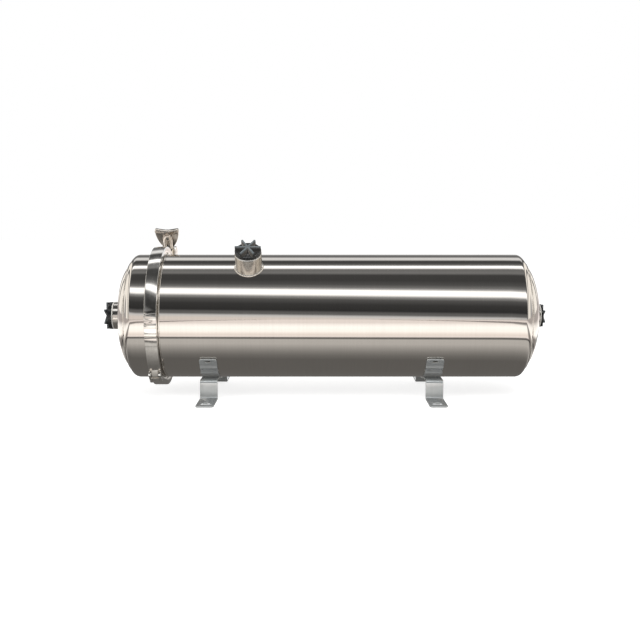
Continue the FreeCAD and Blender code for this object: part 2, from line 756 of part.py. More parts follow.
def build_wing_nut():
    """A cast wing nut: a tapered hub and two wings that spread towards the top."""
    body = new_body("wing_nut")
    seat = "(nut_cheek_offset + nut_cheek_radius + nut_gap)"
    hub = sketch_on(body, "nut_hub", "YZ_Plane", offset=("0", bolt_line, "0"))
    hub_top = "(%s + nut_hub_length)" % seat
    neck = "(nut_hub_radius * 0.8)"
    outline(hub, [
        ("-" + seat, "0"), ("-" + seat, "nut_hub_radius"),
        ("-(%s + nut_hub_length * 0.3)" % seat, "nut_hub_radius"),
        ("-" + hub_top, neck), ("-" + hub_top, "0"),
    ])
    revolve(body, hub)
    wing = sketch_on(body, "nut_wings", "XY_Plane", offset=("0", "0", bolt_line))
    top = "(%s + nut_length)" % seat
    shoulder = "(%s + nut_length * 0.72)" % seat
    half = "(nut_span / 2)"
    fan = "(nut_span * 0.85)"
    outline(wing, [
        ("-" + neck, "-" + seat + " - 1"),
        (neck, "-" + seat + " - 1", fan, "right"),
        (half, "-" + shoulder),
        ("%s * 0.93" % half, "-" + top),
        ("%s * 0.3" % half, "-(%s + nut_length * 0.82)" % seat),
        ("-%s * 0.3" % half, "-(%s + nut_length * 0.82)" % seat),
        ("-%s * 0.93" % half, "-" + top),
        ("-" + half, "-" + shoulder, fan, "right"),
    ])
    pad(body, wing, "nut_wing_thickness", midplane=True)
    thread = sketch_on(body, "nut_thread", "XZ_Plane")
    circles(thread, [("0", bolt_line, "bolt_radius + thread_clearance")])
    pocket(body, thread, "%s + nut_length + 5" % seat, midplane=False, reverse=True)
    place(body, **closure_spot)


# brackets

saddle_outside = "(shell_diameter / 2 + strip_thickness)"


def sector(body, name, inner, outer, start, finish, width, midplane=True):
    """A curved strip under the shell between two angles measured from straight down."""
    sketch = sketch_on(body, name, "YZ_Plane")
    outline(sketch, [
        ("%s * sin(%s)" % (inner, start), "-%s * cos(%s)" % (inner, start), inner, "left"),
        ("%s * sin(%s)" % (inner, finish), "-%s * cos(%s)" % (inner, finish)),
        ("%s * sin(%s)" % (outer, finish), "-%s * cos(%s)" % (outer, finish), outer, "right"),
        ("%s * sin(%s)" % (outer, start), "-%s * cos(%s)" % (outer, start)),
    ])
    return pad(body, sketch, width, midplane=midplane, name=name + "_pad")


def build_saddle(label, x):
    """A rolled strip under the shell, with a pressed bead and a lifted, slotted tab at each end."""
    body = new_body(label)
    sector(body, label + "_strip", shell_radius, saddle_outside,
           "-saddle_half_angle", "saddle_half_angle", "strip_width")
    tab_inside = "(shell_diameter / 2 + tab_lift)"
    tab_outside = "(shell_diameter / 2 + tab_lift + strip_thickness)"
    bead_top = "(%s + saddle_bead_height)" % saddle_outside
    for word, sign in (("front", "-"), ("back", "")):
        sector(body, "%s_%s_tab" % (label, word), tab_inside, tab_outside,
               sign + "(saddle_half_angle - 1.5)", sign + "tab_half_angle", "strip_width")
        sector(body, "%s_%s_bead" % (label, word), "(%s - 0.5)" % saddle_outside, bead_top,
               sign + "(saddle_bead_angle - saddle_bead_sweep_angle)",
               sign + "(saddle_bead_angle + saddle_bead_sweep_angle)", "strip_width")
        slot = sketch_on(body, "%s_%s_slot" % (label, word), "YZ_Plane")
        middle = "%stab_slot_angle" % sign
        half = "(tab_slot_width / 2 / %s * 180 / pi)" % tab_inside
        inner = shell_radius
        outer = "(%s + 2)" % tab_outside
        outline(slot, [
            ("%s * sin(%s - %s)" % (inner, middle, half), "-%s * cos(%s - %s)" % (inner, middle, half)),
            ("%s * sin(%s + %s)" % (inner, middle, half), "-%s * cos(%s + %s)" % (inner, middle, half)),
            ("%s * sin(%s + %s)" % (outer, middle, half), "-%s * cos(%s + %s)" % (outer, middle, half)),
            ("%s * sin(%s - %s)" % (outer, middle, half), "-%s * cos(%s - %s)" % (outer, middle, half)),
        ])
        pocket(body, slot, "tab_slot_length", name="%s_%s_slot_cut" % (label, word))
    place(body, x=x)


def build_leg(label, x, side):
    """A folded strip: a flange welded under the saddle, an upright and a foot that points outwards.

    side is -1 for a front leg and 1 for a back leg. The strip is drawn in the plane of its section.
    """
    body = new_body(label)
    outer_face = "(%d * leg_face)" % side
    inner_face = "(%d * (leg_face - strip_thickness))" % side
    top = "(leg_top - %s)" % axis_height
    under_top = "(leg_top - strip_thickness - %s)" % axis_height
    ground = "(-%s)" % axis_height
    sole = "(strip_thickness - %s)" % axis_height
    toe = "(%d * (leg_face - strip_thickness + foot_length))" % side
    root = "(%d * leg_face / 2)" % side
    bend = "leg_bend_radius"
    inner_bend = "(leg_bend_radius - strip_thickness)"
    turn_out = "right" if side > 0 else "left"
    turn_in = "left" if side > 0 else "right"
    sketch = sketch_on(body, label + "_section", "YZ_Plane")
    outline(sketch, [
        (root, top),
        ("%s - %d * %s" % (outer_face, side, bend), top, bend, turn_out),
        (outer_face, "%s - %s" % (top, bend)),
        (outer_face, "%s + %s" % (sole, inner_bend), inner_bend, turn_in),
        ("%s + %d * %s" % (outer_face, side, inner_bend), sole),
        (toe, sole),
        (toe, ground),
        ("%s + %d * %s" % (inner_face, side, bend), ground, bend, turn_out),
        (inner_face, "%s + %s" % (ground, bend)),
        (inner_face, "%s - %s" % (under_top, inner_bend), inner_bend, turn_in),
        ("%s - %d * %s" % (inner_face, side, inner_bend), under_top),
        (root, under_top),
    ])
    pad(body, sketch, "strip_width", midplane=True)
    seat = sketch_on(body, label + "_seat", "YZ_Plane")
    circles(seat, [("0", "0", saddle_outside)])
    pocket(body, seat, "2 * strip_width", name=label + "_seat_cut")
    hole = sketch_on(body, label + "_hole", "XY_Plane", offset=("0", "0", ground))
    hole_y = "(%d * (leg_face - strip_thickness + foot_hole_distance))" % side
    circles(hole, [("0", hole_y, "foot_hole_diameter / 2")])
    pocket(body, hole, "3 * strip_thickness", name=label + "_hole_cut")
    doc.recompute()
    strip = body.Tip
    corners = []
    far = abs(worth(toe))
    for number, edge in enumerate(strip.Shape.Edges, start=1):
        ends = [vertex.Point for vertex in edge.Vertexes]
        upright = len(ends) == 2 and abs(ends[0].z - ends[1].z) > 0.5
        if upright and all(abs(abs(end.y) - far) < 0.01 for end in ends):
            corners.append("Edge%d" % number)
    rounding = body.newObject("PartDesign::Fillet", label + "_corners")
    rounding.Base = (strip, corners)
    bind(rounding, "Radius", "foot_corner_radius")
    place(body, x=x)


def build_brackets():
    for word, sign in (("left", "-"), ("right", "")):
        x = sign + "bracket_spacing / 2"
        build_saddle(word + "_saddle", x)
        build_leg(word + "_front_leg", x, -1)
        build_leg(word + "_back_leg", x, 1)


# hollow-fibre cartridge

cartridge_near = "(clamp_plane + cartridge_start)"
cartridge_far = "(clamp_plane + shell_length - cartridge_end_gap)"
collar_outside = "(%s - collar_clearance)" % bore_radius
ring_centre = "(%s - ring_radius - ring_squeeze_gap)" % bore_radius


def build_collar(label, near, side):
    """An end collar, with the groove of the O-ring that carries it in the shell."""
    body = new_body(label)
    sketch = sketch_on(body, label + "_section", "XZ_Plane")
    inner = "(%s - collar_wall)" % collar_outside
    groove_floor = "(%s - ring_radius)" % ring_centre
    stations = ["0", "collar_length / 2 - ring_radius", "collar_length / 2 + ring_radius",
                "collar_length"]
    places = ["(%s + %d * (%s))" % (near, side, station) for station in stations]
    outline(sketch, [
        (places[0], inner), (places[0], collar_outside),
        (places[1], collar_outside), (places[1], groove_floor),
        (places[2], groove_floor), (places[2], collar_outside),
        (places[3], collar_outside), (places[3], inner),
    ])
    revolve(body, sketch)
    place(body)


def build_ring(label, near, side):
    ring = doc.addObject("Part::Torus", label)
    bind(ring, "Radius1", ring_centre)
    bind(ring, "Radius2", "ring_radius")
    keep(ring, label)
    place(ring, x="%s + %d * collar_length / 2" % (near, side), turn="90", turn_axis=(0, 1, 0))


def build_potting(label, start):
    disc = doc.addObject("Part::Cylinder", label)
    bind(disc, "Radius", "%s - collar_wall" % collar_outside)
    bind(disc, "Height", "potting_length")
    keep(disc, label)
    place(disc, x=start, turn="90", turn_axis=(0, 1, 0))


def build_strands(start, length):
    """The fibre bundle, drawn as nineteen round strands in two rings round a middle one."""
    strands = []
    for ring_number, count in ((0, 1), (1, 6), (2, 12)):
        for step in range(count):
            strand = doc.addObject("Part::Cylinder", "strand_%d_%d" % (ring_number, step))
            angle = 360.0 * step / count
            pitch = "%d * 1.05 * strand_pitch" % ring_number
            bind(strand, "Radius", "strand_radius")
            bind(strand, "Height", length)
            bind(strand, "Placement.Base.x", "%s * cos(%s)" % (pitch, angle))
            bind(strand, "Placement.Base.y", "%s * sin(%s)" % (pitch, angle))
            strands.append(strand)
    bundle = doc.addObject("Part::Compound", "fibre_bundle")
    bundle.Links = strands
    keep(bundle, "fibre_bundle")
    place(bundle, x=start, turn="90", turn_axis=(0, 1, 0))


def build_cage(start, length):
    """The net sleeve round the fibres: rings joined by eight long ribs."""
    body = new_body("bundle_cage")
    outer = "(%s - cage_clearance)" % bore_radius
    inner = "(%s - cage_rib)" % outer
    spacing = "((%s - cage_ring_width - cage_end_gap) / 4)" % length
    ring = sketch_on(body, "cage_ring", "YZ_Plane")
    circles(ring, [("0", "0", outer), ("0", "0", inner)])
    pad(body, ring, "cage_ring_width", name="cage_first_ring")
    rib = sketch_on(body, "cage_rib", "YZ_Plane")
    half = "(cage_rib / 2)"
    low = inner + " + cage_rib / 5"
    high = outer + " - cage_rib / 5"
    outline(rib, [("-" + half, low), ("-" + half, high), (half, high), (half, low)])
    long_rib = pad(body, rib, length, name="cage_long_rib")
    polar(body, [long_rib], ring, 8, name="cage_ribs")
    for number in range(1, 5):
        next_ring = sketch_on(body, "cage_ring_%d" % number, "YZ_Plane",
                              offset=("0", "0", "%d * %s" % (number, spacing)))
        circles(next_ring, [("0", "0", outer), ("0", "0", inner)])
        feature = pad(body, next_ring, "cage_ring_width", name="cage_next_ring_%d" % number)
        body.Tip = feature
    place(body, x=start)


def build_cartridge():
    build_collar("cap_end_collar", cartridge_near, 1)
    build_collar("rear_end_collar", cartridge_far, -1)
    build_ring("cap_end_ring", cartridge_near, 1)
    build_ring("rear_end_ring", cartridge_far, -1)
    build_potting("cap_end_potting", cartridge_near)
    build_potting("rear_end_potting", "%s - potting_length" % cartridge_far)
    fibre_start = "%s + potting_length" % cartridge_near
    fibre_length = "(shell_length - cartridge_start - cartridge_end_gap - 2 * potting_length)"
    build_strands(fibre_start, fibre_length)
    build_cage(fibre_start, fibre_length)


build_shell_tube()
dished_end("rear", tube_end, rear_apex, 1)
build_cap_skirt()
dished_end("cap", cap_end, cap_apex, -1)
clamp_flange("shell_flange", flange_face, 1)
clamp_flange("cap_flange", cap_face, -1)
build_gasket()
build_ports()
build_front_band()
build_rear_band()
build_hinge_link()
build_clamp_pins()
build_swing_bolt()
build_wing_nut()
build_brackets()
build_cartridge()

doc.recompute()
faults = [item.Name for item in doc.Objects if "Invalid" in item.State or "Error" in item.State]
for item in sub_parts:
    if item.Shape.isNull() or not item.Shape.isValid():
        faults.append(item.Label)
if faults:
    raise RuntimeError("these did not build: " + ", ".join(faults))
for item in sub_parts:
    item.Shape.exportStep(os.path.join("parts", item.Label + ".step"))
print("%d sub-parts written" % len(sub_parts))
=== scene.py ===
import bpy
import math
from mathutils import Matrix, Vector


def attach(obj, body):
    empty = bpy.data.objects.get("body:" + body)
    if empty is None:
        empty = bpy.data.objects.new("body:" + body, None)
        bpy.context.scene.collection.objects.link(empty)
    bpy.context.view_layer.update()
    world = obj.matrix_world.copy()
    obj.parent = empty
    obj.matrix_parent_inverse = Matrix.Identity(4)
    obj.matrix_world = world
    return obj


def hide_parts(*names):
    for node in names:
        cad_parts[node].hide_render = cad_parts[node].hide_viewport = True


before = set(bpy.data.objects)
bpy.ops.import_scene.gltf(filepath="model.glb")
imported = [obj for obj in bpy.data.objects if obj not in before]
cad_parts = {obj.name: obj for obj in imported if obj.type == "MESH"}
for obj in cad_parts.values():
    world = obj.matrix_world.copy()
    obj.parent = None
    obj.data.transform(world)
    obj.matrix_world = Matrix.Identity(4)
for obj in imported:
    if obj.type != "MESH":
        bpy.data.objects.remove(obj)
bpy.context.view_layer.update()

# Ultrafiltration water filter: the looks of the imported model, in metres in its own frame.
# Sizes in the dictionaries below are in mm and centres in metres, unless a note says otherwise.
mm = 0.001
axisHeight = 99 * mm
sidePortTilt = math.radians(33.5)   # the side port leans to the front
mergeGap = 0.002 * mm               # corners closer than this are one
housing = "housing"


def linearColour(hexText):
    channels = [int(hexText[i:i + 2], 16) / 255 for i in (1, 3, 5)]
    return [c / 12.92 if c <= 0.04045 else ((c + 0.055) / 1.055) ** 2.4 for c in channels] + [1.0]


def addNode(tree, kind, settings=None, feeds=None):
    node = tree.nodes.new("ShaderNode" + kind)
    for key, value in (settings or {}).items():
        if isinstance(key, int) or key in node.inputs:
            node.inputs[key].default_value = value
        else:
            setattr(node, key, value)
    for key, source in (feeds or {}).items():
        tree.links.new(source, node.inputs[key])
    return node


def newLook(name):
    look = bpy.data.materials.new(name)
    look.use_nodes = True
    look.node_tree.nodes.clear()
    return look, look.node_tree


def setStops(node, stops):
    # stops are (position, value or colour); the ramp starts with two of its own
    stopList = node.color_ramp.elements
    while len(stopList) > 1:
        stopList.remove(stopList[-1])
    for index, (position, value) in enumerate(stops):
        stop = stopList[0] if index == 0 else stopList.new(position)
        stop.position = position
        stop.color = value if isinstance(value, (list, tuple)) else (value, value, value, 1)


noiseLow, noiseHigh = 0.3, 0.7   # most of a noise's values lie between these
patchShare = 0.4                 # how far the cloudy patches cover the lines
bumpDepth = 0.1 * mm


def steelLook(name, settings):
    # Worked stainless: a mirror or satin ground, polishing lines one way, faint cloudy patches.
    look, tree = newLook(name)
    place = addNode(tree, "TexCoord").outputs["Object"]
    lined = addNode(tree, "Mapping", {
        "Scale": [1 / (size * mm) for size in settings["lineSize"]],
        "Rotation": settings.get("lineTurn", (0, 0, 0))}, {"Vector": place})
    lines = addNode(tree, "TexNoise", {"Scale": 1.0, "Detail": 3.0, "Roughness": 0.6},
                    {"Vector": lined.outputs["Vector"]})
    patches = addNode(tree, "TexNoise", {"Scale": 1 / (settings["patchSize"] * mm), "Detail": 2.0},
                      {"Vector": place})
    grit = addNode(tree, "TexNoise", {"Scale": 1 / (settings["gritSize"] * mm), "Detail": 2.0},
                   {"Vector": place})
    mixed = addNode(tree, "Mix", {"data_type": "FLOAT", "Factor": patchShare},
                    {2: lines.outputs["Fac"], 3: patches.outputs["Fac"]})
    low, high = settings["roughness"]
    rough = addNode(tree, "MapRange", {
        "From Min": noiseLow, "From Max": noiseHigh, "To Min": low, "To Max": high},
        {"Value": mixed.outputs[0]})
    tint = addNode(tree, "ValToRGB", {}, {"Fac": mixed.outputs[0]})
    setStops(tint, [(noiseLow, linearColour(settings["darkTone"])),
                    (noiseHigh, linearColour(settings["lightTone"]))])
    relief = addNode(tree, "Mix", {"data_type": "FLOAT", "Factor": settings["gritShare"]},
                     {2: lines.outputs["Fac"], 3: grit.outputs["Fac"]})
    bump = addNode(tree, "Bump", {"Strength": settings["bump"], "Distance": bumpDepth},
                   {"Height": relief.outputs[0]})
    steel = addNode(tree, "BsdfPrincipled", {"Metallic": settings.get("metallic", 1.0)}, {
        "Base Color": tint.outputs["Color"], "Roughness": rough.outputs["Result"],
        "Normal": bump.outputs["Normal"]})
    addNode(tree, "OutputMaterial", {}, {"Surface": steel.outputs["BSDF"]})
    return look


def mouldedLook(name, settings):
    # Moulded polymer or rubber: the skin of its mould, in two tones, and where asked a painted highlight that
    # lightens one end along a line.
    look, tree = newLook(name)
    place = addNode(tree, "TexCoord").outputs["Object"]
    skin = addNode(tree, "TexNoise", {"Scale": 1 / (settings["grainSize"] * mm), "Detail": 3.0},
                   {"Vector": place})
    cloud = addNode(tree, "TexNoise", {"Scale": 1 / (settings["cloudSize"] * mm), "Detail": 2.0},
                    {"Vector": place})
    tint = addNode(tree, "ValToRGB", {}, {"Fac": cloud.outputs["Fac"]})
    setStops(tint, [(0.35, linearColour(settings["darkTone"])),
                    (noiseHigh, linearColour(settings["lightTone"]))])
    tone = tint.outputs["Color"]
    if "tipHighlight" in settings:
        # painted highlight: the far end along a line is painted pale, standing in for light caught there
        tipHighlight = settings["tipHighlight"]
        reach = addNode(tree, "VectorMath", {"operation": "DOT_PRODUCT", 1: tipHighlight["along"]}, {0: place})
        highlightShare = addNode(tree, "MapRange", {"From Min": tipHighlight["from"], "From Max": tipHighlight["to"]},
                         {"Value": reach.outputs["Value"]})
        highlighted = addNode(tree, "Mix", {"data_type": "RGBA", 7: linearColour(tipHighlight["tone"])}, {
            0: highlightShare.outputs["Result"], 6: tone})
        tone = highlighted.outputs[2]
    low, high = settings["roughness"]
    rough = addNode(tree, "MapRange", {
        "From Min": noiseLow, "From Max": noiseHigh, "To Min": low, "To Max": high},
        {"Value": cloud.outputs["Fac"]})
    bump = addNode(tree, "Bump", {"Strength": settings["bump"], "Distance": bumpDepth},
                   {"Height": skin.outputs["Fac"]})
    body = addNode(tree, "BsdfPrincipled", {"IOR": settings["ior"]}, {
        "Base Color": tone, "Roughness": rough.outputs["Result"], "Normal": bump.outputs["Normal"]})
    addNode(tree, "OutputMaterial", {}, {"Surface": body.outputs["BSDF"]})
    return look


# Rolled 304 tube, mirror polished on a lathe: fine lines run round it, drawn as coarse as they show.
polishedTube = steelLook("stainless_tube_mirror_polished", {
    "lineSize": (1.2, 60, 60), "patchSize": 35, "gritSize": 0.8, "gritShare": 0.3,
    "roughness": (0.04, 0.07), "bump": 0.015, "darkTone": "#d3cfca", "lightTone": "#d9d5d0"})
# Spun ends from the same sheet, buffed all ways, so the lines are only a faint haze.
buffedDish = steelLook("stainless_dish_spun_and_buffed", {
    "lineSize": (18, 9, 9), "patchSize": 40, "gritSize": 0.9, "gritShare": 0.3,
    "roughness": (0.05, 0.08), "bump": 0.01, "darkTone": "#cfcbc6", "lightTone": "#dad7d3"})
# Drawn bar, brushed along its length: long streaks from light to dark run down the socket.
turnedBar = steelLook("stainless_bar_drawn_and_brushed", {
    "lineSize": (1.5, 1.5, 26), "lineTurn": (-sidePortTilt, 0, 0),
    "patchSize": 30, "gritSize": 0.9, "gritShare": 0.1,
    "roughness": (0.12, 0.24), "bump": 0.12, "darkTone": "#8f887e", "lightTone": "#dcd8d2"})
# Turned ring: tool lines round it, and a bright cut face.
turnedRing = steelLook("stainless_ring_turned", {
    "lineSize": (0.9, 30, 30), "patchSize": 30, "gritSize": 0.9, "gritShare": 0.1,
    "roughness": (0.1, 0.16), "bump": 0.03, "darkTone": "#bfbab4", "lightTone": "#dbd7d2"})
# Investment cast, tumbled and buffed: bright but browner than sheet, with slow dents left in the skin.
castSteel = steelLook("stainless_cast_and_buffed", {
    "lineSize": (4, 4, 4), "patchSize": 9, "gritSize": 1.2, "gritShare": 0.4,
    "roughness": (0.08, 0.18), "bump": 0.12, "darkTone": "#bdb4aa", "lightTone": "#e0dad2"})
# The clamp band is rolled, pressed and polished: mirror bright with slight ripples along it.
pressedBand = steelLook("stainless_band_pressed_and_polished", {
    "lineSize": (5, 9, 9), "patchSize": 8, "gritSize": 1.0, "gritShare": 0.3,
    "roughness": (0.05, 0.12), "bump": 0.14, "darkTone": "#d8d5d0", "lightTone": "#f0eeea"})
# Cold rolled strip with a 2B finish: pale satin grey, faint rolling lines along the strip.
rolledStrip = steelLook("stainless_strip_cold_rolled", {
    "lineSize": (1.6, 30, 30), "patchSize": 16, "gritSize": 0.9, "gritShare": 0.5, "metallic": 0.72,
    "roughness": (0.1, 0.16), "bump": 0.01, "darkTone": "#cdd2d3", "lightTone": "#dde1e2"})
# Welded by hand and brushed: small overlapping ripples.
weldMetal = steelLook("stainless_weld_brushed", {
    "lineSize": (1.6, 1.6, 1.6), "patchSize": 6, "gritSize": 1.0, "gritShare": 0.4,
    "roughness": (0.06, 0.14), "bump": 0.2, "darkTone": "#c4beb6", "lightTone": "#ece8e2"})
# Moulded glass-filled nylon: black with a slight sheen; each plug gets it with a painted highlight on its
# tips.
nylonSettings = {"grainSize": 0.7, "cloudSize": 7, "roughness": (0.2, 0.3), "bump": 0.12, "ior": 1.53,
                 "darkTone": "#0e1011", "lightTone": "#1a1d1e"}
# Moulded nitrile rubber: matt black O-rings.
blackRubber = mouldedLook("black_rubber_moulded", {
    "grainSize": 0.8, "cloudSize": 9, "roughness": (0.6, 0.8), "bump": 0.2, "ior": 1.52,
    "darkTone": "#161616", "lightTone": "#222222"})
# Moulded silicone: milky white gaskets with a soft sheen.
whiteSilicone = mouldedLook("white_silicone_moulded", {
    "grainSize": 0.9, "cloudSize": 8, "roughness": (0.45, 0.6), "bump": 0.12, "ior": 1.41,
    "darkTone": "#dad8d2", "lightTone": "#eceae4"})
# Moulded ABS: the white collars and the cage of the cartridge.
whiteAbs = mouldedLook("white_abs_moulded", {
    "grainSize": 0.9, "cloudSize": 14, "roughness": (0.3, 0.42), "bump": 0.12, "ior": 1.54,
    "darkTone": "#dddcd8", "lightTone": "#efeeea"})
# Cast potting resin: amber and smooth, with slow waves in its face.
castResin = mouldedLook("amber_potting_resin_cast", {
    "grainSize": 2.5, "cloudSize": 12, "roughness": (0.14, 0.22), "bump": 0.08, "ior": 1.55,
    "darkTone": "#c2a468", "lightTone": "#d8c08a"})

fibreSettings = {"length": 120, "width": 0.9, "darkTone": "#cfccc2", "lightTone": "#f3f1ea",
                 "roughness": 0.75, "sheen": 0.2, "bump": 0.6, "bumpDepth": 0.2}


def fibreLook(settings):
    # Spun hollow fibres: fine parallel hairs along the bundle, matt and nearly white.
    look, tree = newLook("hollow_fibre_spun")
    place = addNode(tree, "TexCoord").outputs["Object"]
    width = 1 / (settings["width"] * mm)
    along = addNode(tree, "Mapping", {"Scale": (1 / (settings["length"] * mm), width, width)},
                    {"Vector": place})
    hairs = addNode(tree, "TexNoise", {"Scale": 1.0, "Detail": 2.0}, {"Vector": along.outputs["Vector"]})
    tint = addNode(tree, "ValToRGB", {}, {"Fac": hairs.outputs["Fac"]})
    setStops(tint, [(noiseLow, linearColour(settings["darkTone"])),
                    (0.65, linearColour(settings["lightTone"]))])
    bump = addNode(tree, "Bump", {"Strength": settings["bump"], "Distance": settings["bumpDepth"] * mm},
                   {"Height": hairs.outputs["Fac"]})
    body = addNode(tree, "BsdfPrincipled", {
        "Roughness": settings["roughness"], "Sheen Weight": settings["sheen"]}, {
        "Base Color": tint.outputs["Color"], "Normal": bump.outputs["Normal"]})
    addNode(tree, "OutputMaterial", {}, {"Surface": body.outputs["BSDF"]})
    return look


hollowFibre = fibreLook(fibreSettings)
print("finishes made")


def deselectAll():
    if bpy.context.mode != "OBJECT":
        bpy.ops.object.mode_set(mode="OBJECT")
    bpy.ops.object.select_all(action="DESELECT")


def pickOnly(piece):
    deselectAll()
    piece.select_set(True)
    bpy.context.view_layer.objects.active = piece


def applyModifier(piece, kind, settings):
    pickOnly(piece)
    modifier = piece.modifiers.new(kind.lower(), kind)
    for key, value in settings.items():
        setattr(modifier, key, value)
    bpy.ops.object.modifier_apply(modifier=modifier.name)


def easeEdges(piece, width, segments, sharpAngle):
    # rounds the edges that turn by more than an angle in degrees
    applyModifier(piece, "BEVEL", {"width": width * mm, "segments": segments, "limit_method": "ANGLE",
                                   "angle_limit": math.radians(sharpAngle)})


def settle(piece):
    # the object goes to the origin and its place goes into its mesh
    pickOnly(piece)
    bpy.ops.object.transform_apply(location=True, rotation=True, scale=True)


def finish(piece, look, nodes=(), body=housing, smoothAngle=35):
    pickOnly(piece)
    bpy.ops.object.shade_smooth_by_angle(angle=math.radians(smoothAngle))
    piece.data.materials.clear()
    piece.data.materials.append(look)
    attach(piece, body)
    if nodes:
        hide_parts(*nodes)
    return piece


def standOn(piece, centre, along):
    # a piece drawn along X through the origin is stood on its own line
    piece.rotation_mode = "QUATERNION"
    piece.rotation_quaternion = Vector(along).to_track_quat("X", "Z")
    piece.location = centre
    settle(piece)
    return piece


def joinPieces(pieces):
    pickOnly(pieces[0])
    for other in pieces[1:]:
        other.select_set(True)
    bpy.ops.object.join()
    return pieces[0]


def selectWhere(piece, kind, passes):
    # goes to edit mode with only those faces, edges or vertices selected that pass
    bpy.ops.object.mode_set(mode="EDIT")
    bpy.ops.mesh.select_mode(type=kind)
    bpy.ops.mesh.select_all(action="DESELECT")
    bpy.ops.object.mode_set(mode="OBJECT")
    parts = {"FACE": piece.data.polygons, "EDGE": piece.data.edges, "VERT": piece.data.vertices}[kind]
    for part in parts:
        part.select = passes(part)
    bpy.ops.object.mode_set(mode="EDIT")


def drawLine(name, first, steps):
    # one point is set down in metres and drawn on step by step; edit mode stays on, all selected
    deselectAll()
    bpy.ops.mesh.primitive_plane_add(size=1 * mm, location=(0, 0, 0))
    piece = bpy.context.active_object
    piece.name = name
    bpy.ops.object.mode_set(mode="EDIT")
    bpy.ops.mesh.select_mode(type="VERT")
    bpy.ops.mesh.select_all(action="SELECT")
    bpy.ops.mesh.merge(type="CENTER")
    bpy.ops.transform.translate(value=first)
    for step in steps:
        bpy.ops.mesh.extrude_region_move(TRANSFORM_OT_translate={"value": step})
    bpy.ops.mesh.select_all(action="SELECT")
    return piece


def drawOutline(name, corners):
    # a closed flat outline in mm, filled
    spots = [Vector((x * mm, y * mm, 0)) for x, y in corners]
    piece = drawLine(name, spots[0], [after - before for before, after in zip(spots, spots[1:])])
    bpy.ops.mesh.edge_face_add()
    bpy.ops.object.mode_set(mode="OBJECT")
    return piece


def turnOnLathe(name, profile, steps, centre=(0, 0, axisHeight), along=(1, 0, 0)):
    # The closed profile is (distance along, radius) in mm, drawn point by point and spun about X.
    firstX, firstR = profile[0]
    piece = drawLine(name, (firstX * mm, 0, firstR * mm), [
        ((after[0] - before[0]) * mm, 0, (after[1] - before[1]) * mm)
        for before, after in zip(profile, profile[1:] + profile[:1])])
    bpy.ops.mesh.remove_doubles(threshold=mergeGap)
    bpy.ops.mesh.spin(steps=steps, angle=2 * math.pi, center=(0, 0, 0), axis=(1, 0, 0))
    bpy.ops.mesh.select_all(action="SELECT")
    bpy.ops.mesh.remove_doubles(threshold=mergeGap)
    bpy.ops.mesh.normals_make_consistent(inside=False)
    bpy.ops.object.mode_set(mode="OBJECT")
    return standOn(piece, centre, along)


def arcPoints(centreX, centreR, radius, fromDegrees, toDegrees, count):
    spots = []
    for index in range(count + 1):
        angle = math.radians(fromDegrees + (toDegrees - fromDegrees) * index / count)
        spots.append((centreX + radius * math.cos(angle), centreR + radius * math.sin(angle)))
    return spots


def offsetInside(outer, wall, inward):
    # the inner face of a sheet whose outside is given, for a profile that is closed by going back
    inner = []
    for index, spot in enumerate(outer):
        before = outer[max(index - 1, 0)]
        after = outer[min(index + 1, len(outer) - 1)]
        run = Vector((after[0] - before[0], after[1] - before[1])).normalized()
        inner.append((spot[0] + inward * run.y * wall, spot[1] - inward * run.x * wall))
    return inner


# housing: places along X, the cap at the low end
housingSizes = {"shellRadius": 79.5, "wall": 1.5, "weldRadius": 70.5, "shoulder": 9.4, "tubeStart": -199,
                "tubeEnd": 259, "tubeStations": 24, "capStart": -215, "capStraight": 11, "capEnd": -243,
                "shoulderCorners": 14, "steps": 256}


def shoulderArc(edge, side):
    # leaves the tube smoothly and ends on the weld circle; side 1 for the rear, -1 for the cap
    length = housingSizes["shoulder"]
    drop = housingSizes["shellRadius"] - housingSizes["weldRadius"]
    radius = (length ** 2 + drop ** 2) / (2 * drop)
    sweep = math.degrees(math.asin(length / radius))
    centreX = edge - side * length
    centreR = housingSizes["shellRadius"] - radius
    return arcPoints(centreX, centreR, radius, 90, 90 - side * sweep, housingSizes["shoulderCorners"])


def buildSheet(name, node, straight, edge, side):
    # a rolled sheet: its straight stretch at the shell's radius, then the shoulder
    outer = [(x, housingSizes["shellRadius"]) for x in straight] + shoulderArc(edge, side)
    inner = offsetInside(outer, housingSizes["wall"], side)
    sheet = turnOnLathe(name, outer + inner[::-1], housingSizes["steps"])
    return finish(sheet, polishedTube, [node])


def buildHousing():
    sizes = housingSizes
    start, end, count = sizes["tubeStart"], sizes["tubeEnd"], sizes["tubeStations"]
    stretch = end - sizes["shoulder"] - start
    buildSheet("shellTube", "shell_tube", [start + stretch * i / count for i in range(count)], end, 1)
    start = sizes["capStart"]
    buildSheet("capSkirt", "cap_skirt", [start, start - sizes["capStraight"]], sizes["capEnd"], -1)


dishSizes = {
    "rear": {"weld": housingSizes["tubeEnd"], "side": 1, "crown": 150, "knuckleWidth": 14.3,
             "knuckleRise": 10.1, "hole": 15.15},
    "cap": {"weld": housingSizes["capEnd"], "side": -1, "crown": 260, "knuckleWidth": 20.9,
            "knuckleRise": 12, "hole": 18.15},
}
dishCorners = {"knuckle": 16, "crown": 18}


def crownLean(sizes):
    # the angle at which the crown meets the knuckle
    return math.asin((housingSizes["weldRadius"] - sizes["knuckleWidth"]) / sizes["crown"])


def crownRise(sizes):
    # how far the crown's top stands past the weld
    return sizes["crown"] * (1 - math.cos(crownLean(sizes))) + sizes["knuckleRise"]


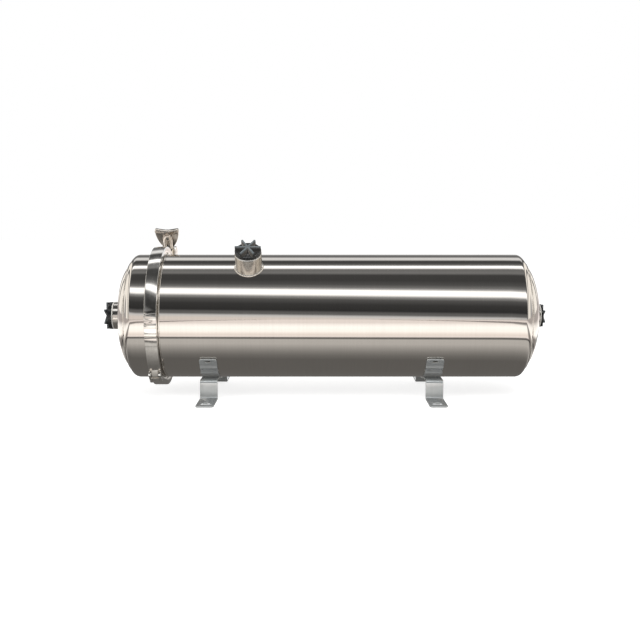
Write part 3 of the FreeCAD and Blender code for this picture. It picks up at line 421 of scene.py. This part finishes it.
def buildDish(end, node):
    sizes = dishSizes[end]
    side, crown, weldRadius = sizes["side"], sizes["crown"], housingSizes["weldRadius"]
    lean, rise = crownLean(sizes), crownRise(sizes)
    # the knuckle's arc starts on the weld circle and meets the crown with no kink
    back, out = sizes["knuckleRise"], sizes["knuckleWidth"]
    knuckle = (back ** 2 + out ** 2) / (2 * (back * math.cos(lean) - out * math.sin(lean)))
    centreX = back - knuckle * math.cos(lean)
    centreR = weldRadius - out - knuckle * math.sin(lean)
    endAngle = math.degrees(math.atan2(weldRadius - centreR, -centreX))
    rim = arcPoints(centreX, centreR, knuckle, endAngle, math.degrees(lean), dishCorners["knuckle"])
    start = math.degrees(math.asin(sizes["hole"] / crown))
    face = arcPoints(rise - crown, 0, crown, math.degrees(lean), start, dishCorners["crown"])[1:]
    outer = [(sizes["weld"] + side * x, r) for x, r in rim + face]
    # the sheet is cut square to the axis at the weld and along it round the hole
    inner = offsetInside(outer, housingSizes["wall"], side)
    inner[-1] = (inner[-1][0], outer[-1][1])
    inner[0] = (outer[0][0], inner[0][1])
    dish = turnOnLathe(end + "Dish", outer + inner[::-1], housingSizes["steps"])
    return finish(dish, buffedDish, [node])


# lift is how far the bead's middle stands off the surface that it runs round, behindCrown how far
# it lies back from the crown's top
weldBeads = {
    "dish": {"halfWidth": 1.8, "height": 1.0, "lift": 0.1},
    "flange": {"halfWidth": 1.3, "height": 0.55, "lift": -0.1},
    "capSocket": {"halfWidth": 1.5, "height": 1.1, "lift": 0.6, "behindCrown": 0.275},
    "rearSocket": {"halfWidth": 1.4, "height": 0.9, "lift": 0.6, "behindCrown": 0.83},
}
beadSteps = 192


def buildWeldRing(name, x, surface, bead):
    # a low rounded bead round the axis, part sunk in the sheet
    profile = [(x + bead["halfWidth"] * math.cos(math.radians(angle)),
                surface + bead["lift"] + bead["height"] * math.sin(math.radians(angle)))
               for angle in range(0, 360, 30)]
    ring = turnOnLathe(name, profile, beadSteps)
    return finish(ring, weldMetal, smoothAngle=60)


buildHousing()
buildDish("rear", "rear_dished_end")
buildDish("cap", "cap_dished_end")
buildWeldRing("rearWeld", housingSizes["tubeEnd"], housingSizes["weldRadius"], weldBeads["dish"])
buildWeldRing("capWeld", housingSizes["capEnd"], housingSizes["weldRadius"], weldBeads["dish"])
print("housing turned")

# clamp flanges
flangeSizes = {"bore": 78, "hub": 79.5, "rim": 85, "rimWidth": 3, "backDegrees": 20, "round": 0.4,
               "shellFace": -206, "capFace": -208, "hubLength": 7, "steps": 224}


def buildFlange(name, node, face, side):
    sizes = flangeSizes
    bore, hub, rim, width = sizes["bore"], sizes["hub"], sizes["rim"], sizes["rimWidth"]
    drop = (rim - hub) * math.tan(math.radians(sizes["backDegrees"]))
    ease = sizes["round"]
    stations = [(0, bore), (0, rim - ease), (ease, rim), (width - ease, rim),
                (width + ease / 3, rim - ease), (width + drop, hub), (sizes["hubLength"], hub),
                (sizes["hubLength"], bore)]
    ring = turnOnLathe(name, [(face + side * x, r) for x, r in stations], sizes["steps"])
    return finish(ring, turnedRing, [node], smoothAngle=25)


buildFlange("shellFlange", "shell_flange", flangeSizes["shellFace"], 1)
buildFlange("capFlange", "cap_flange", flangeSizes["capFace"], -1)
buildWeldRing("shellFlangeWeld", housingSizes["tubeStart"], housingSizes["shellRadius"], weldBeads["flange"])
buildWeldRing("capFlangeWeld", housingSizes["capStart"], housingSizes["shellRadius"], weldBeads["flange"])
print("flanges turned")

# port sockets: the end ports stand on the crowns of the dished ends, and low and rim are measured
# along each port from its centre
capCrown = dishSizes["cap"]["weld"] - crownRise(dishSizes["cap"])
rearCrown = dishSizes["rear"]["weld"] + crownRise(dishSizes["rear"])
portPlans = {
    "side": {"centre": (-90.6 * mm, 0, axisHeight),
             "along": (0, -math.sin(sidePortTilt), math.cos(sidePortTilt)),
             "outside": 16.75, "bore": 12.5, "low": 69.5, "rim": 99.6},
    "cap": {"centre": (capCrown * mm, 0, axisHeight), "along": (-1, 0, 0),
            "outside": 18, "bore": 13.5, "low": -10, "rim": 9},
    "rear": {"centre": (rearCrown * mm, 0, axisHeight), "along": (1, 0, 0),
             "outside": 15, "bore": 10.5, "low": -10, "rim": 2},
}
socketSizes = {"edge": 0.6, "steps": 96}


def buildSocket(word):
    plan = portPlans[word]
    low, rim, bore, outside = plan["low"], plan["rim"], plan["bore"], plan["outside"]
    edge = socketSizes["edge"]
    profile = [(low, bore), (low, outside), (rim - edge, outside), (rim, outside - edge),
               (rim, bore + edge), (rim - edge, bore)]
    socket = turnOnLathe(word + "Socket", profile, socketSizes["steps"], plan["centre"], plan["along"])
    return finish(socket, turnedBar if word == "side" else turnedRing,
                  [word + "_port_socket"], smoothAngle=30)


sideWeldSizes = {"gap": 0.6, "startHeight": 110, "bead": 1.3, "corners": 120, "mergeGap": 0.005}


def buildSideWeld():
    # the bead follows the round shell: a ring dropped on it, then thickened
    sizes, plan = sideWeldSizes, portPlans["side"]
    deselectAll()
    bpy.ops.mesh.primitive_circle_add(vertices=sizes["corners"], fill_type="NOTHING",
                                      radius=(plan["outside"] + sizes["gap"]) * mm)
    ring = bpy.context.active_object
    ring.name = "sideSocketWeld"
    ring.rotation_mode = "QUATERNION"
    ring.rotation_quaternion = Vector(plan["along"]).to_track_quat("Z", "Y")
    ring.location = Vector(plan["centre"]) + Vector(plan["along"]) * sizes["startHeight"] * mm
    shell = bpy.data.objects["shellTube"]
    applyModifier(ring, "SHRINKWRAP", {"target": shell, "wrap_method": "PROJECT", "use_project_z": True,
                                       "use_negative_direction": True, "use_positive_direction": False})
    bpy.ops.object.convert(target="CURVE")
    ring.data.bevel_depth = sizes["bead"] * mm
    ring.data.bevel_resolution = 3
    bpy.ops.object.convert(target="MESH")
    settle(ring)
    bpy.ops.object.mode_set(mode="EDIT")
    bpy.ops.mesh.select_all(action="SELECT")
    bpy.ops.mesh.remove_doubles(threshold=sizes["mergeGap"] * mm)
    bpy.ops.mesh.normals_make_consistent(inside=False)
    bpy.ops.object.mode_set(mode="OBJECT")
    return finish(ring, weldMetal, smoothAngle=60)


for portWord in portPlans:
    buildSocket(portWord)
buildSideWeld()
buildWeldRing("capSocketWeld", capCrown + weldBeads["capSocket"]["behindCrown"],
              portPlans["cap"]["outside"], weldBeads["capSocket"])
buildWeldRing("rearSocketWeld", rearCrown - weldBeads["rearSocket"]["behindCrown"],
              portPlans["rear"]["outside"], weldBeads["rearSocket"])
print("sockets turned")

# plugs: six blades from a small boss, and a low rib between each two
plugSizes = {
    "side": {"flange": 16.45, "shank": 12, "height": 9.5, "disc": 3.0, "firstBlade": 30},
    "cap": {"flange": 17.7, "shank": 13, "height": 9.5, "disc": 4.4, "firstBlade": 0},
    "rear": {"flange": 14.7, "shank": 10, "height": 5, "disc": 2.2, "firstBlade": 0},
}
# rooted is how deep a rib stands in the disc, start its inner end, gap what is left to the flange's edge
ribSizes = {
    "blade": {"width": 3.1, "start": 1.5, "gap": 0.4, "endTaper": 1},
    "low": {"width": 1.8, "height": 2.6, "start": 5, "gap": 2, "endTaper": 0.8},
    "rooted": 1.6, "sideTaper": 0.7, "edge": 0.35, "apart": 30,
}
# the painted highlight on the tips runs from tipFrom to tipTo below the top
plugForm = {"seat": 1.5, "shankLength": 8, "steps": 72, "tipHighlightTone": "#666d70", "tipFrom": 2.8, "tipTo": 0.4}


def buildRib(kind, disc, top, flange, turn):
    # a tapered bar that stands on the disc and points away from the axis
    sizes = ribSizes[kind]
    height = sizes.get("height", top - disc + ribSizes["rooted"])
    length = flange - sizes["gap"] - sizes["start"]
    deselectAll()
    bpy.ops.mesh.primitive_cube_add(size=1, location=(0, 0, 0))
    rib = bpy.context.active_object
    rib.scale = (height * mm, sizes["width"] * mm, length * mm)
    bpy.ops.object.transform_apply(location=False, rotation=False, scale=True)
    selectWhere(rib, "FACE", lambda face: face.normal.x > 0.5)
    bpy.ops.transform.resize(value=(1, ribSizes["sideTaper"], sizes["endTaper"]))
    bpy.ops.object.mode_set(mode="OBJECT")
    applyModifier(rib, "BEVEL", {"width": ribSizes["edge"] * mm, "segments": 2})
    rib.location = ((disc - ribSizes["rooted"] + height / 2) * mm, 0, (sizes["start"] + length / 2) * mm)
    settle(rib)
    rib.rotation_euler = (math.radians(turn), 0, 0)
    settle(rib)
    return rib


def buildPlug(word):
    # a moulded bowl on a shank
    sizes, plan = plugSizes[word], portPlans[word]
    base = plan["rim"] + plugForm["seat"]
    end = base - plugForm["shankLength"]
    disc, flange, shank, top = base + sizes["disc"], sizes["flange"], sizes["shank"], base + sizes["height"]
    boss = [(top - 0.8, 0), (top - 0.8, 1.8), (top - 1.6, 2.8), (disc + 1.4, 4)]
    bowl = [(disc - 0.8, 6.5), (disc - 1.2, flange - 4.5), (disc, flange - 1.8)]
    lip = [(disc + 0.4, flange - 1.2), (disc + 0.3, flange - 0.4), (disc - 0.1, flange)]
    under = [(base + 0.3, flange), (base, flange - 0.3), (base, shank), (end, shank - 0.4), (end, 0)]
    pieces = [turnOnLathe(word + "Plug", boss + bowl + lip + under, plugForm["steps"], (0, 0, 0))]
    for index in range(360 // ribSizes["apart"]):
        turn = sizes["firstBlade"] + ribSizes["apart"] * index
        pieces.append(buildRib("low" if index % 2 else "blade", disc, top, flange, turn))
    plug = standOn(joinPieces(pieces), plan["centre"], plan["along"])
    start = Vector(plan["centre"]).dot(Vector(plan["along"]))
    # the nylon gets a painted highlight towards the tops of the blades
    nylon = mouldedLook("black_nylon_moulded_" + word, dict(nylonSettings, tipHighlight={
        "along": plan["along"], "tone": plugForm["tipHighlightTone"],
        "from": start + (top - plugForm["tipFrom"]) * mm, "to": start + (top - plugForm["tipTo"]) * mm}))
    return finish(plug, nylon, [word + "_port_plug"], word + "_port_plug", smoothAngle=30)


for portWord in plugSizes:
    buildPlug(portWord)
print("plugs moulded")

# wing nut: the bolt's line touches a circle round the shell's axis, and foot and top are measured
# along the line from there
boltLine = {"x": -207, "radius": 100, "angle": math.radians(35)}
nutSizes = {"centre": (boltLine["x"] * mm, boltLine["radius"] * math.cos(boltLine["angle"]) * mm,
                       axisHeight + boltLine["radius"] * math.sin(boltLine["angle"]) * mm),
            "along": (0, -math.sin(boltLine["angle"]), math.cos(boltLine["angle"])),
            "foot": 35.3, "top": 65.2, "halfSpan": 15.9, "bore": 4.3, "thickness": 4.2, "topSwell": 1.55,
            "edge": 0.9, "hubSteps": 64}


def buildWingNut():
    # investment cast: a waisted hub, two broad wings that fan out and thicken at their top edge
    sizes = nutSizes
    foot, top, half, bore = sizes["foot"], sizes["top"], sizes["halfSpan"], sizes["bore"]
    side = [(foot + 0.6, 4.8), (foot + 2.5, 7.2), (foot + 6, 9.8), (foot + 11, 12.3), (foot + 16, 13.9),
            (foot + 21, 15.1), (top - 2, half), (top - 0.4, half - 0.6), (top, half - 2.2),
            (top - 0.6, half - 5), (top - 1.6, 6), (top - 2.2, 2.5)]
    wings = drawOutline("wingNut", side + [(x, -y) for x, y in side[::-1]])
    applyModifier(wings, "SOLIDIFY", {"thickness": sizes["thickness"] * mm, "offset": 0})
    # a cut across the wings, above which they swell
    bpy.ops.object.mode_set(mode="EDIT")
    bpy.ops.mesh.select_mode(type="VERT")
    bpy.ops.mesh.select_all(action="SELECT")
    bpy.ops.mesh.bisect(plane_co=((top - 5.5) * mm, 0, 0), plane_no=(1, 0, 0))
    bpy.ops.object.mode_set(mode="OBJECT")
    selectWhere(wings, "VERT", lambda vertex: vertex.co.x > (top - 4) * mm)
    bpy.ops.transform.resize(value=(1, 1, sizes["topSwell"]))
    bpy.ops.object.mode_set(mode="OBJECT")
    easeEdges(wings, sizes["edge"], segments=3, sharpAngle=50)
    hub = turnOnLathe("nutHub", [
        (foot, bore), (foot, 5.6), (foot + 0.6, 6.2), (foot + 3, 6.2), (foot + 6, 6.6), (foot + 12, 7.2),
        (foot + 17, 6.9), (foot + 21, 5.9), (foot + 22.4, 5.0), (foot + 22.4, bore)],
        sizes["hubSteps"], (0, 0, 0))
    nut = standOn(joinPieces([wings, hub]), sizes["centre"], sizes["along"])
    return finish(nut, castSteel, ["wing_nut"], "wing_nut", smoothAngle=40)


buildWingNut()
print("wing nut cast")


def easedCopy(name, node, look, slotName, body, edge):
    # The node's mesh is loose triangles: merged, its flats joined again, then its edges eased.
    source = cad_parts[node]
    piece = source.copy()
    piece.data = source.data.copy()
    piece.name = name
    # the copy is a piece of its own, without the node's marks
    for key in list(piece.keys()):
        del piece[key]
    piece.parent = None
    bpy.context.scene.collection.objects.link(piece)
    pickOnly(piece)
    bpy.ops.object.mode_set(mode="EDIT")
    bpy.ops.mesh.select_all(action="SELECT")
    bpy.ops.mesh.remove_doubles(threshold=mergeGap)
    bpy.ops.mesh.dissolve_limited(angle_limit=math.radians(0.6))
    bpy.ops.object.mode_set(mode="OBJECT")
    easeEdges(piece, edge, segments=3, sharpAngle=40)
    return finish(piece, look, [node], body, smoothAngle=40)


# each piece's node, look, slot, body and the width of its eased edges
clampPieces = {
    "clampHalfFront": ("clamp_half_front", pressedBand, "cast_stainless", housing, 0.5),
    "clampHalfRear": ("clamp_half_rear", pressedBand, "cast_stainless", housing, 0.5),
    "clampHingeLink": ("clamp_hinge_link", pressedBand, "cast_stainless", housing, 0.6),
    "hingePinFront": ("clamp_hinge_pin_front", turnedRing, "turned_stainless", housing, 0.25),
    "hingePinRear": ("clamp_hinge_pin_rear", turnedRing, "turned_stainless", housing, 0.25),
    "boltPivotPin": ("bolt_pivot_pin", turnedRing, "turned_stainless", housing, 0.35),
    "swingBolt": ("swing_bolt", turnedRing, "turned_stainless", "swing_bolt", 0.5),
}
legEdge = 0.35
for pieceName, plan in clampPieces.items():
    easedCopy(pieceName, *plan)
for sideWord in ("left", "right"):
    for placeWord in ("Front", "Back"):
        easedCopy(sideWord + placeWord + "Leg", f"{sideWord}_{placeWord.lower()}_leg", rolledStrip,
                  "pressed_stainless", housing, legEdge)
print("clamp and legs eased")

# bracket saddles, each a strip rolled round the shell with pressed steps towards its slotted ends
saddleSizes = {"halfSpacing": 141, "width": 22, "thickness": 1.6, "slotLength": 8, "slotWidth": 3.6,
               "slotAngle": 51.6, "cutDepth": 12, "cornerRound": 3, "cornerZone": 2.2, "edge": 0.3,
               "bendDegrees": 2.5}
# degrees from straight down and how far the strip's inside stands off the shell there
saddleSteps = [(0, 0.2), (30, 0.2), (33.2, 0.3), (34.4, 2.4), (36.2, 2.8), (37.6, 1.0), (39.4, 0.5),
               (41.6, 0.6), (43.0, 1.9), (44.6, 1.9), (46.0, 0.7), (47.4, 0.5), (49, 0.8), (54.8, 0.8)]


def underShell(degrees, lift=0):
    # a spot under the shell, in metres
    angle = math.radians(degrees)
    radius = housingSizes["shellRadius"] + lift
    return Vector((0, radius * math.sin(angle) * mm, axisHeight - radius * math.cos(angle) * mm))


def cutSlot(strip, degrees):
    sizes = saddleSizes
    deselectAll()
    bpy.ops.mesh.primitive_cylinder_add(vertices=24, radius=sizes["slotWidth"] / 2 * mm,
                                        depth=sizes["cutDepth"] * mm)
    cutter = bpy.context.active_object
    bpy.ops.object.mode_set(mode="EDIT")
    bpy.ops.mesh.select_all(action="SELECT")
    bpy.ops.transform.resize(value=(sizes["slotLength"] / sizes["slotWidth"], 1, 1))
    bpy.ops.object.mode_set(mode="OBJECT")
    cutter.rotation_euler = (math.radians(degrees), 0, 0)
    cutter.location = underShell(degrees)
    settle(cutter)
    applyModifier(strip, "BOOLEAN", {"object": cutter, "operation": "DIFFERENCE", "solver": "EXACT"})
    bpy.data.objects.remove(cutter)


def roundCorners(strip):
    # the four short edges at the corners of the strip's two ends
    sizes = saddleSizes
    halfWidth, thickness = sizes["width"] / 2 * mm, sizes["thickness"] * mm
    farEnd = max(abs(vertex.co.y) for vertex in strip.data.vertices) - sizes["cornerZone"] * mm
    nearly, roughly = 0.01 * mm, 0.25 * mm

    def isCorner(edge):
        first, last = (strip.data.vertices[i].co for i in edge.vertices)
        onSide = abs(abs(first.x) - halfWidth) < nearly and abs(first.x - last.x) < nearly
        short = abs((first - last).length - thickness) < roughly
        return onSide and short and min(abs(first.y), abs(last.y)) > farEnd

    selectWhere(strip, "EDGE", isCorner)
    bpy.ops.mesh.bevel(offset=sizes["cornerRound"] * mm, segments=4)
    bpy.ops.object.mode_set(mode="OBJECT")


def buildSaddle(name, node, side):
    sizes = saddleSizes
    run = [(-angle, lift) for angle, lift in saddleSteps[::-1]] + saddleSteps[1:]
    # long stretches get more corners, so that they follow the round shell
    path = []
    for (angle, lift), (nextAngle, nextLift) in zip(run, run[1:]):
        parts = max(1, round(abs(nextAngle - angle) / sizes["bendDegrees"]))
        for step in range(parts):
            share = step / parts
            path.append((angle + (nextAngle - angle) * share, lift + (nextLift - lift) * share))
    path.append(run[-1])
    spots = [underShell(angle, lift) for angle, lift in path]
    strip = drawLine(name, spots[0] - Vector((sizes["width"] / 2 * mm, 0, 0)),
                     [after - before for before, after in zip(spots, spots[1:])])
    bpy.ops.mesh.extrude_region_move(TRANSFORM_OT_translate={"value": (sizes["width"] * mm, 0, 0)})
    bpy.ops.mesh.select_all(action="SELECT")
    bpy.ops.mesh.normals_make_consistent(inside=False)
    bpy.ops.object.mode_set(mode="OBJECT")
    middle = strip.data.polygons[len(strip.data.polygons) // 2]
    outward = -1 if middle.normal.z > 0 else 1
    applyModifier(strip, "SOLIDIFY", {"thickness": sizes["thickness"] * mm, "offset": outward})
    for degrees in (-sizes["slotAngle"], sizes["slotAngle"]):
        cutSlot(strip, degrees)
    roundCorners(strip)
    easeEdges(strip, sizes["edge"], segments=2, sharpAngle=50)
    strip.location = (side * sizes["halfSpacing"] * mm, 0, 0)
    settle(strip)
    return finish(strip, rolledStrip, [node], smoothAngle=28)


buildSaddle("leftSaddle", "left_saddle", -1)
buildSaddle("rightSaddle", "right_saddle", 1)
print("saddles pressed")

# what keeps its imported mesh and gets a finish
keptNodes = {
    "body_gasket": whiteSilicone, "side_plug_seal": whiteSilicone, "cap_plug_seal": whiteSilicone,
    "rear_plug_seal": whiteSilicone, "cap_end_collar": whiteAbs, "rear_end_collar": whiteAbs,
    "cap_end_ring": blackRubber, "rear_end_ring": blackRubber, "cap_end_potting": castResin,
    "rear_end_potting": castResin, "fibre_bundle": hollowFibre, "bundle_cage": whiteAbs,
}
for node, look in keptNodes.items():
    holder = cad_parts[node]
    if not holder.material_slots:
        holder.data.materials.append(look)
    for materialSlot in holder.material_slots:
        materialSlot.material = look

# the polished shell shows no image of the side port and the legs
unmirrored = ("sideSocket", "sideSocketWeld", "sidePlug", "leftFrontLeg", "leftBackLeg", "rightFrontLeg",
              "rightBackLeg")
for piece in [bpy.data.objects[name] for name in unmirrored] + [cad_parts["side_plug_seal"]]:
    piece.visible_glossy = False
print("hidden parts finished")

# the floor, in metres; skew is how far its edge runs askew to the filter
floorSizes = {"size": 12.0, "shadowEmission": 0.78, "tone": "#cfcfcf", "halfLength": 0.24, "skew": 0.02}
# what polished steel sees of it by distance, a glow painted for reflections: a painted shadow dark under the
# filter, one thin dark line, bright beyond
paintedShadowTones = [(0.0, 0.15), (0.07, 0.15), (0.086, 0.21), (0.102, 0.31), (0.123, 0.48),
             (0.141, 0.62), (0.176, 0.64), (0.184, 0.17), (0.195, 0.17)]
farTones = [(0.205, (1.25, 1.15, 1.1, 1)), (0.23, (1.2, 1.08, 1.0, 1)), (0.29, (1.55, 1.48, 1.4, 1)),
            (0.42, (1.6, 1.56, 1.5, 1)), (0.9, (1.15, 1.05, 1.0, 1))]
# and how that fades by distance from the middle along the filter
endTones = [(0.0, 1.0), (0.36, 1.0), (0.4, 0.3), (0.47, 0.25), (0.52, 1.0), (0.75, 0.9), (1.0, 0.5)]


def stageFloor():
    sizes = floorSizes
    deselectAll()
    bpy.ops.mesh.primitive_plane_add(size=sizes["size"], location=(0, 0, 0))
    floor = bpy.context.active_object
    floor.name = "floor"
    look, tree = newLook("pale_paper_floor")
    place = addNode(tree, "TexCoord").outputs["Object"]
    parts = addNode(tree, "SeparateXYZ", {}, {0: place})
    # how far a spot lies from the filter's own strip of floor
    along = addNode(tree, "Math", {"operation": "ABSOLUTE"}, {0: parts.outputs["X"]})
    beyond = addNode(tree, "Math", {"operation": "SUBTRACT", 1: sizes["halfLength"], "use_clamp": True},
                     {0: along.outputs[0]})
    acrossSquared = addNode(tree, "Math", {"operation": "MULTIPLY"},
                            {0: parts.outputs["Y"], 1: parts.outputs["Y"]})
    distance = addNode(tree, "Math", {"operation": "MULTIPLY_ADD"},
                       {0: beyond.outputs[0], 1: beyond.outputs[0], 2: acrossSquared.outputs[0]})
    reach = addNode(tree, "Math", {"operation": "SQRT"}, {0: distance.outputs[0]})
    askew = addNode(tree, "Math", {"operation": "MULTIPLY_ADD", 1: sizes["skew"]}, {
        0: parts.outputs["X"], 2: reach.outputs[0]})
    seen = addNode(tree, "ValToRGB", {}, {"Fac": askew.outputs[0]})
    setStops(seen, [(spot, (1.04 * tone, tone, 0.95 * tone, 1)) for spot, tone in paintedShadowTones] + farTones)
    ends = addNode(tree, "ValToRGB", {}, {"Fac": along.outputs[0]})
    setStops(ends, endTones)
    # painted reflection: glossy rays see the floor glow with these tones, with the filter's shadow painted in
    mirrored = addNode(tree, "Emission", {}, {
        "Color": seen.outputs["Color"], "Strength": ends.outputs["Color"]})
    # the camera sees white paper that keeps the shadow
    paper = addNode(tree, "BsdfDiffuse", {"Color": linearColour(sizes["tone"])})
    glow = addNode(tree, "Emission", {"Strength": sizes["shadowEmission"]})
    shown = addNode(tree, "AddShader", {}, {0: paper.outputs[0], 1: glow.outputs[0]})
    rays = addNode(tree, "LightPath")
    direct = addNode(tree, "MixShader", {}, {
        0: rays.outputs["Is Camera Ray"], 1: paper.outputs[0], 2: shown.outputs[0]})
    whole = addNode(tree, "MixShader", {}, {
        0: rays.outputs["Is Glossy Ray"], 1: direct.outputs[0], 2: mirrored.outputs[0]})
    addNode(tree, "OutputMaterial", {}, {"Surface": whole.outputs[0]})
    floor.data.materials.append(look)


# degrees up from the front, over the top and down behind, with how bright the hall is there
hallBands = [(0, (0.95, 0.86, 0.8, 1)), (5, 0.8), (8.5, 0.17), (12, 0.15), (15.5, 0.04), (27, 0.055),
             (36, 0.12), (41.5, 0.4), (45, 1.5), (47, 1.8), (54, 1.8), (56.2, 0.7), (59.5, 0.25),
             (66, 0.11), (75, 0.066), (87, 0.07), (92, 0.25), (101, 0.2), (103.5, 0.7), (105.5, 1.8),
             (111, 1.8), (113, 0.3), (119, 0.1), (127, 0.06), (130, 0.2), (133.5, 0.85), (140, 1.0),
             (147, 0.3), (153, 0.16), (160, 0.18), (167, 0.75), (180, 1.0)]
# the end walls, by how far a direction points along the filter: a door, bright panels, grey corners
panel = (1.3, 1.24, 1.15, 1)
wallBands = [(0.4, 0.25), (0.45, 0.12), (0.49, 0.12), (0.53, panel), (0.64, panel), (0.67, 0.2),
             (0.71, 0.2), (0.75, panel), (0.93, panel), (0.97, 0.4), (1.0, 0.5)]
worldPlan = {"slant": 0.11, "slantFrom": 0.28, "slantTo": 0.56, "wallFrom": 0.36, "wallTo": 0.44,
             "plainLight": 0.5}


def studioWorld():
    # A dark hall with long soft strips over it. Only polished steel sees the strips.
    world = bpy.data.worlds.new("studio")
    bpy.context.scene.world = world
    world.use_nodes = True
    tree = world.node_tree
    tree.nodes.clear()
    parts = addNode(tree, "SeparateXYZ", {}, {0: addNode(tree, "TexCoord").outputs["Generated"]})
    front = addNode(tree, "Math", {"operation": "MULTIPLY", 1: -1.0}, {0: parts.outputs["Y"]})
    lift = addNode(tree, "Math", {"operation": "ARCTAN2"}, {0: parts.outputs["Z"], 1: front.outputs[0]})
    share = addNode(tree, "Math", {"operation": "DIVIDE", 1: math.pi}, {0: lift.outputs[0]})
    # the strips in front hang a little askew to the filter, those behind it straight
    slant = addNode(tree, "MapRange", {
        "From Min": worldPlan["slantFrom"], "From Max": worldPlan["slantTo"],
        "To Min": worldPlan["slant"], "To Max": 0.0}, {"Value": share.outputs[0]})
    askew = addNode(tree, "Math", {"operation": "MULTIPLY_ADD"}, {
        0: parts.outputs["X"], 1: slant.outputs["Result"], 2: share.outputs[0]})
    hall = addNode(tree, "ValToRGB", {}, {"Fac": askew.outputs[0]})
    setStops(hall, [(degrees / 180, value) for degrees, value in hallBands])
    sideways = addNode(tree, "Math", {"operation": "ABSOLUTE"}, {0: parts.outputs["X"]})
    walls = addNode(tree, "ValToRGB", {}, {"Fac": sideways.outputs[0]})
    setStops(walls, wallBands)
    turned = addNode(tree, "MapRange", {"From Min": worldPlan["wallFrom"], "From Max": worldPlan["wallTo"]},
                     {"Value": sideways.outputs[0]})
    around = addNode(tree, "Mix", {"data_type": "RGBA"}, {
        0: turned.outputs["Result"], 6: hall.outputs["Color"], 7: walls.outputs["Color"]})
    seen = addNode(tree, "Background", {"Strength": 1.0}, {"Color": around.outputs[2]})
    plain = addNode(tree, "Background", {"Color": (1, 1, 1, 1), "Strength": worldPlan["plainLight"]})
    white = addNode(tree, "Background", {"Color": (1, 1, 1, 1), "Strength": 1.0})
    rays = addNode(tree, "LightPath")
    mirrored = addNode(tree, "MixShader", {}, {
        0: rays.outputs["Is Glossy Ray"], 1: plain.outputs[0], 2: seen.outputs[0]})
    whole = addNode(tree, "MixShader", {}, {
        0: rays.outputs["Is Camera Ray"], 1: mirrored.outputs[0], 2: white.outputs[0]})
    addNode(tree, "OutputWorld", {}, {"Surface": whole.outputs[0]})


# places in metres, powers in watts
lampAim = (0, 0, 0.08)
lampPlans = {
    "overheadLamp": {"place": (0.1, -0.5, 1.5), "size": 1.4, "power": 16},
    "sideLamp": {"place": (-1.2, -1.1, 0.7), "size": 0.8, "power": 5},
}


def hangLamps():
    for name, plan in lampPlans.items():
        deselectAll()
        bpy.ops.object.light_add(type="AREA", location=plan["place"])
        lamp = bpy.context.active_object
        lamp.name = name
        lamp.data.size = plan["size"]
        lamp.data.energy = plan["power"]
        lamp.visible_glossy = False
        aim = Vector(lampAim) - Vector(plan["place"])
        lamp.rotation_euler = aim.to_track_quat("-Z", "Y").to_euler()


# elevation in degrees, distance in metres, lens and sensor in mm
cameraPlan = {"elevation": 6.8, "distance": 1.2, "aim": (-2.0 * mm, 0, 93.1 * mm), "lens": 51.8, "sensor": 36}


def setCamera():
    lean = math.radians(cameraPlan["elevation"])
    away = Vector((0, -math.cos(lean), math.sin(lean))) * cameraPlan["distance"]
    bpy.ops.object.camera_add(location=Vector(cameraPlan["aim"]) + away,
                              rotation=(math.pi / 2 - lean, 0, 0))
    camera = bpy.context.active_object
    camera.data.lens = cameraPlan["lens"]
    camera.data.sensor_width = cameraPlan["sensor"]
    bpy.context.scene.camera = camera


stageFloor()
studioWorld()
hangLamps()
setCamera()
bpy.context.scene.view_settings.view_transform = "Standard"
print("stage set")
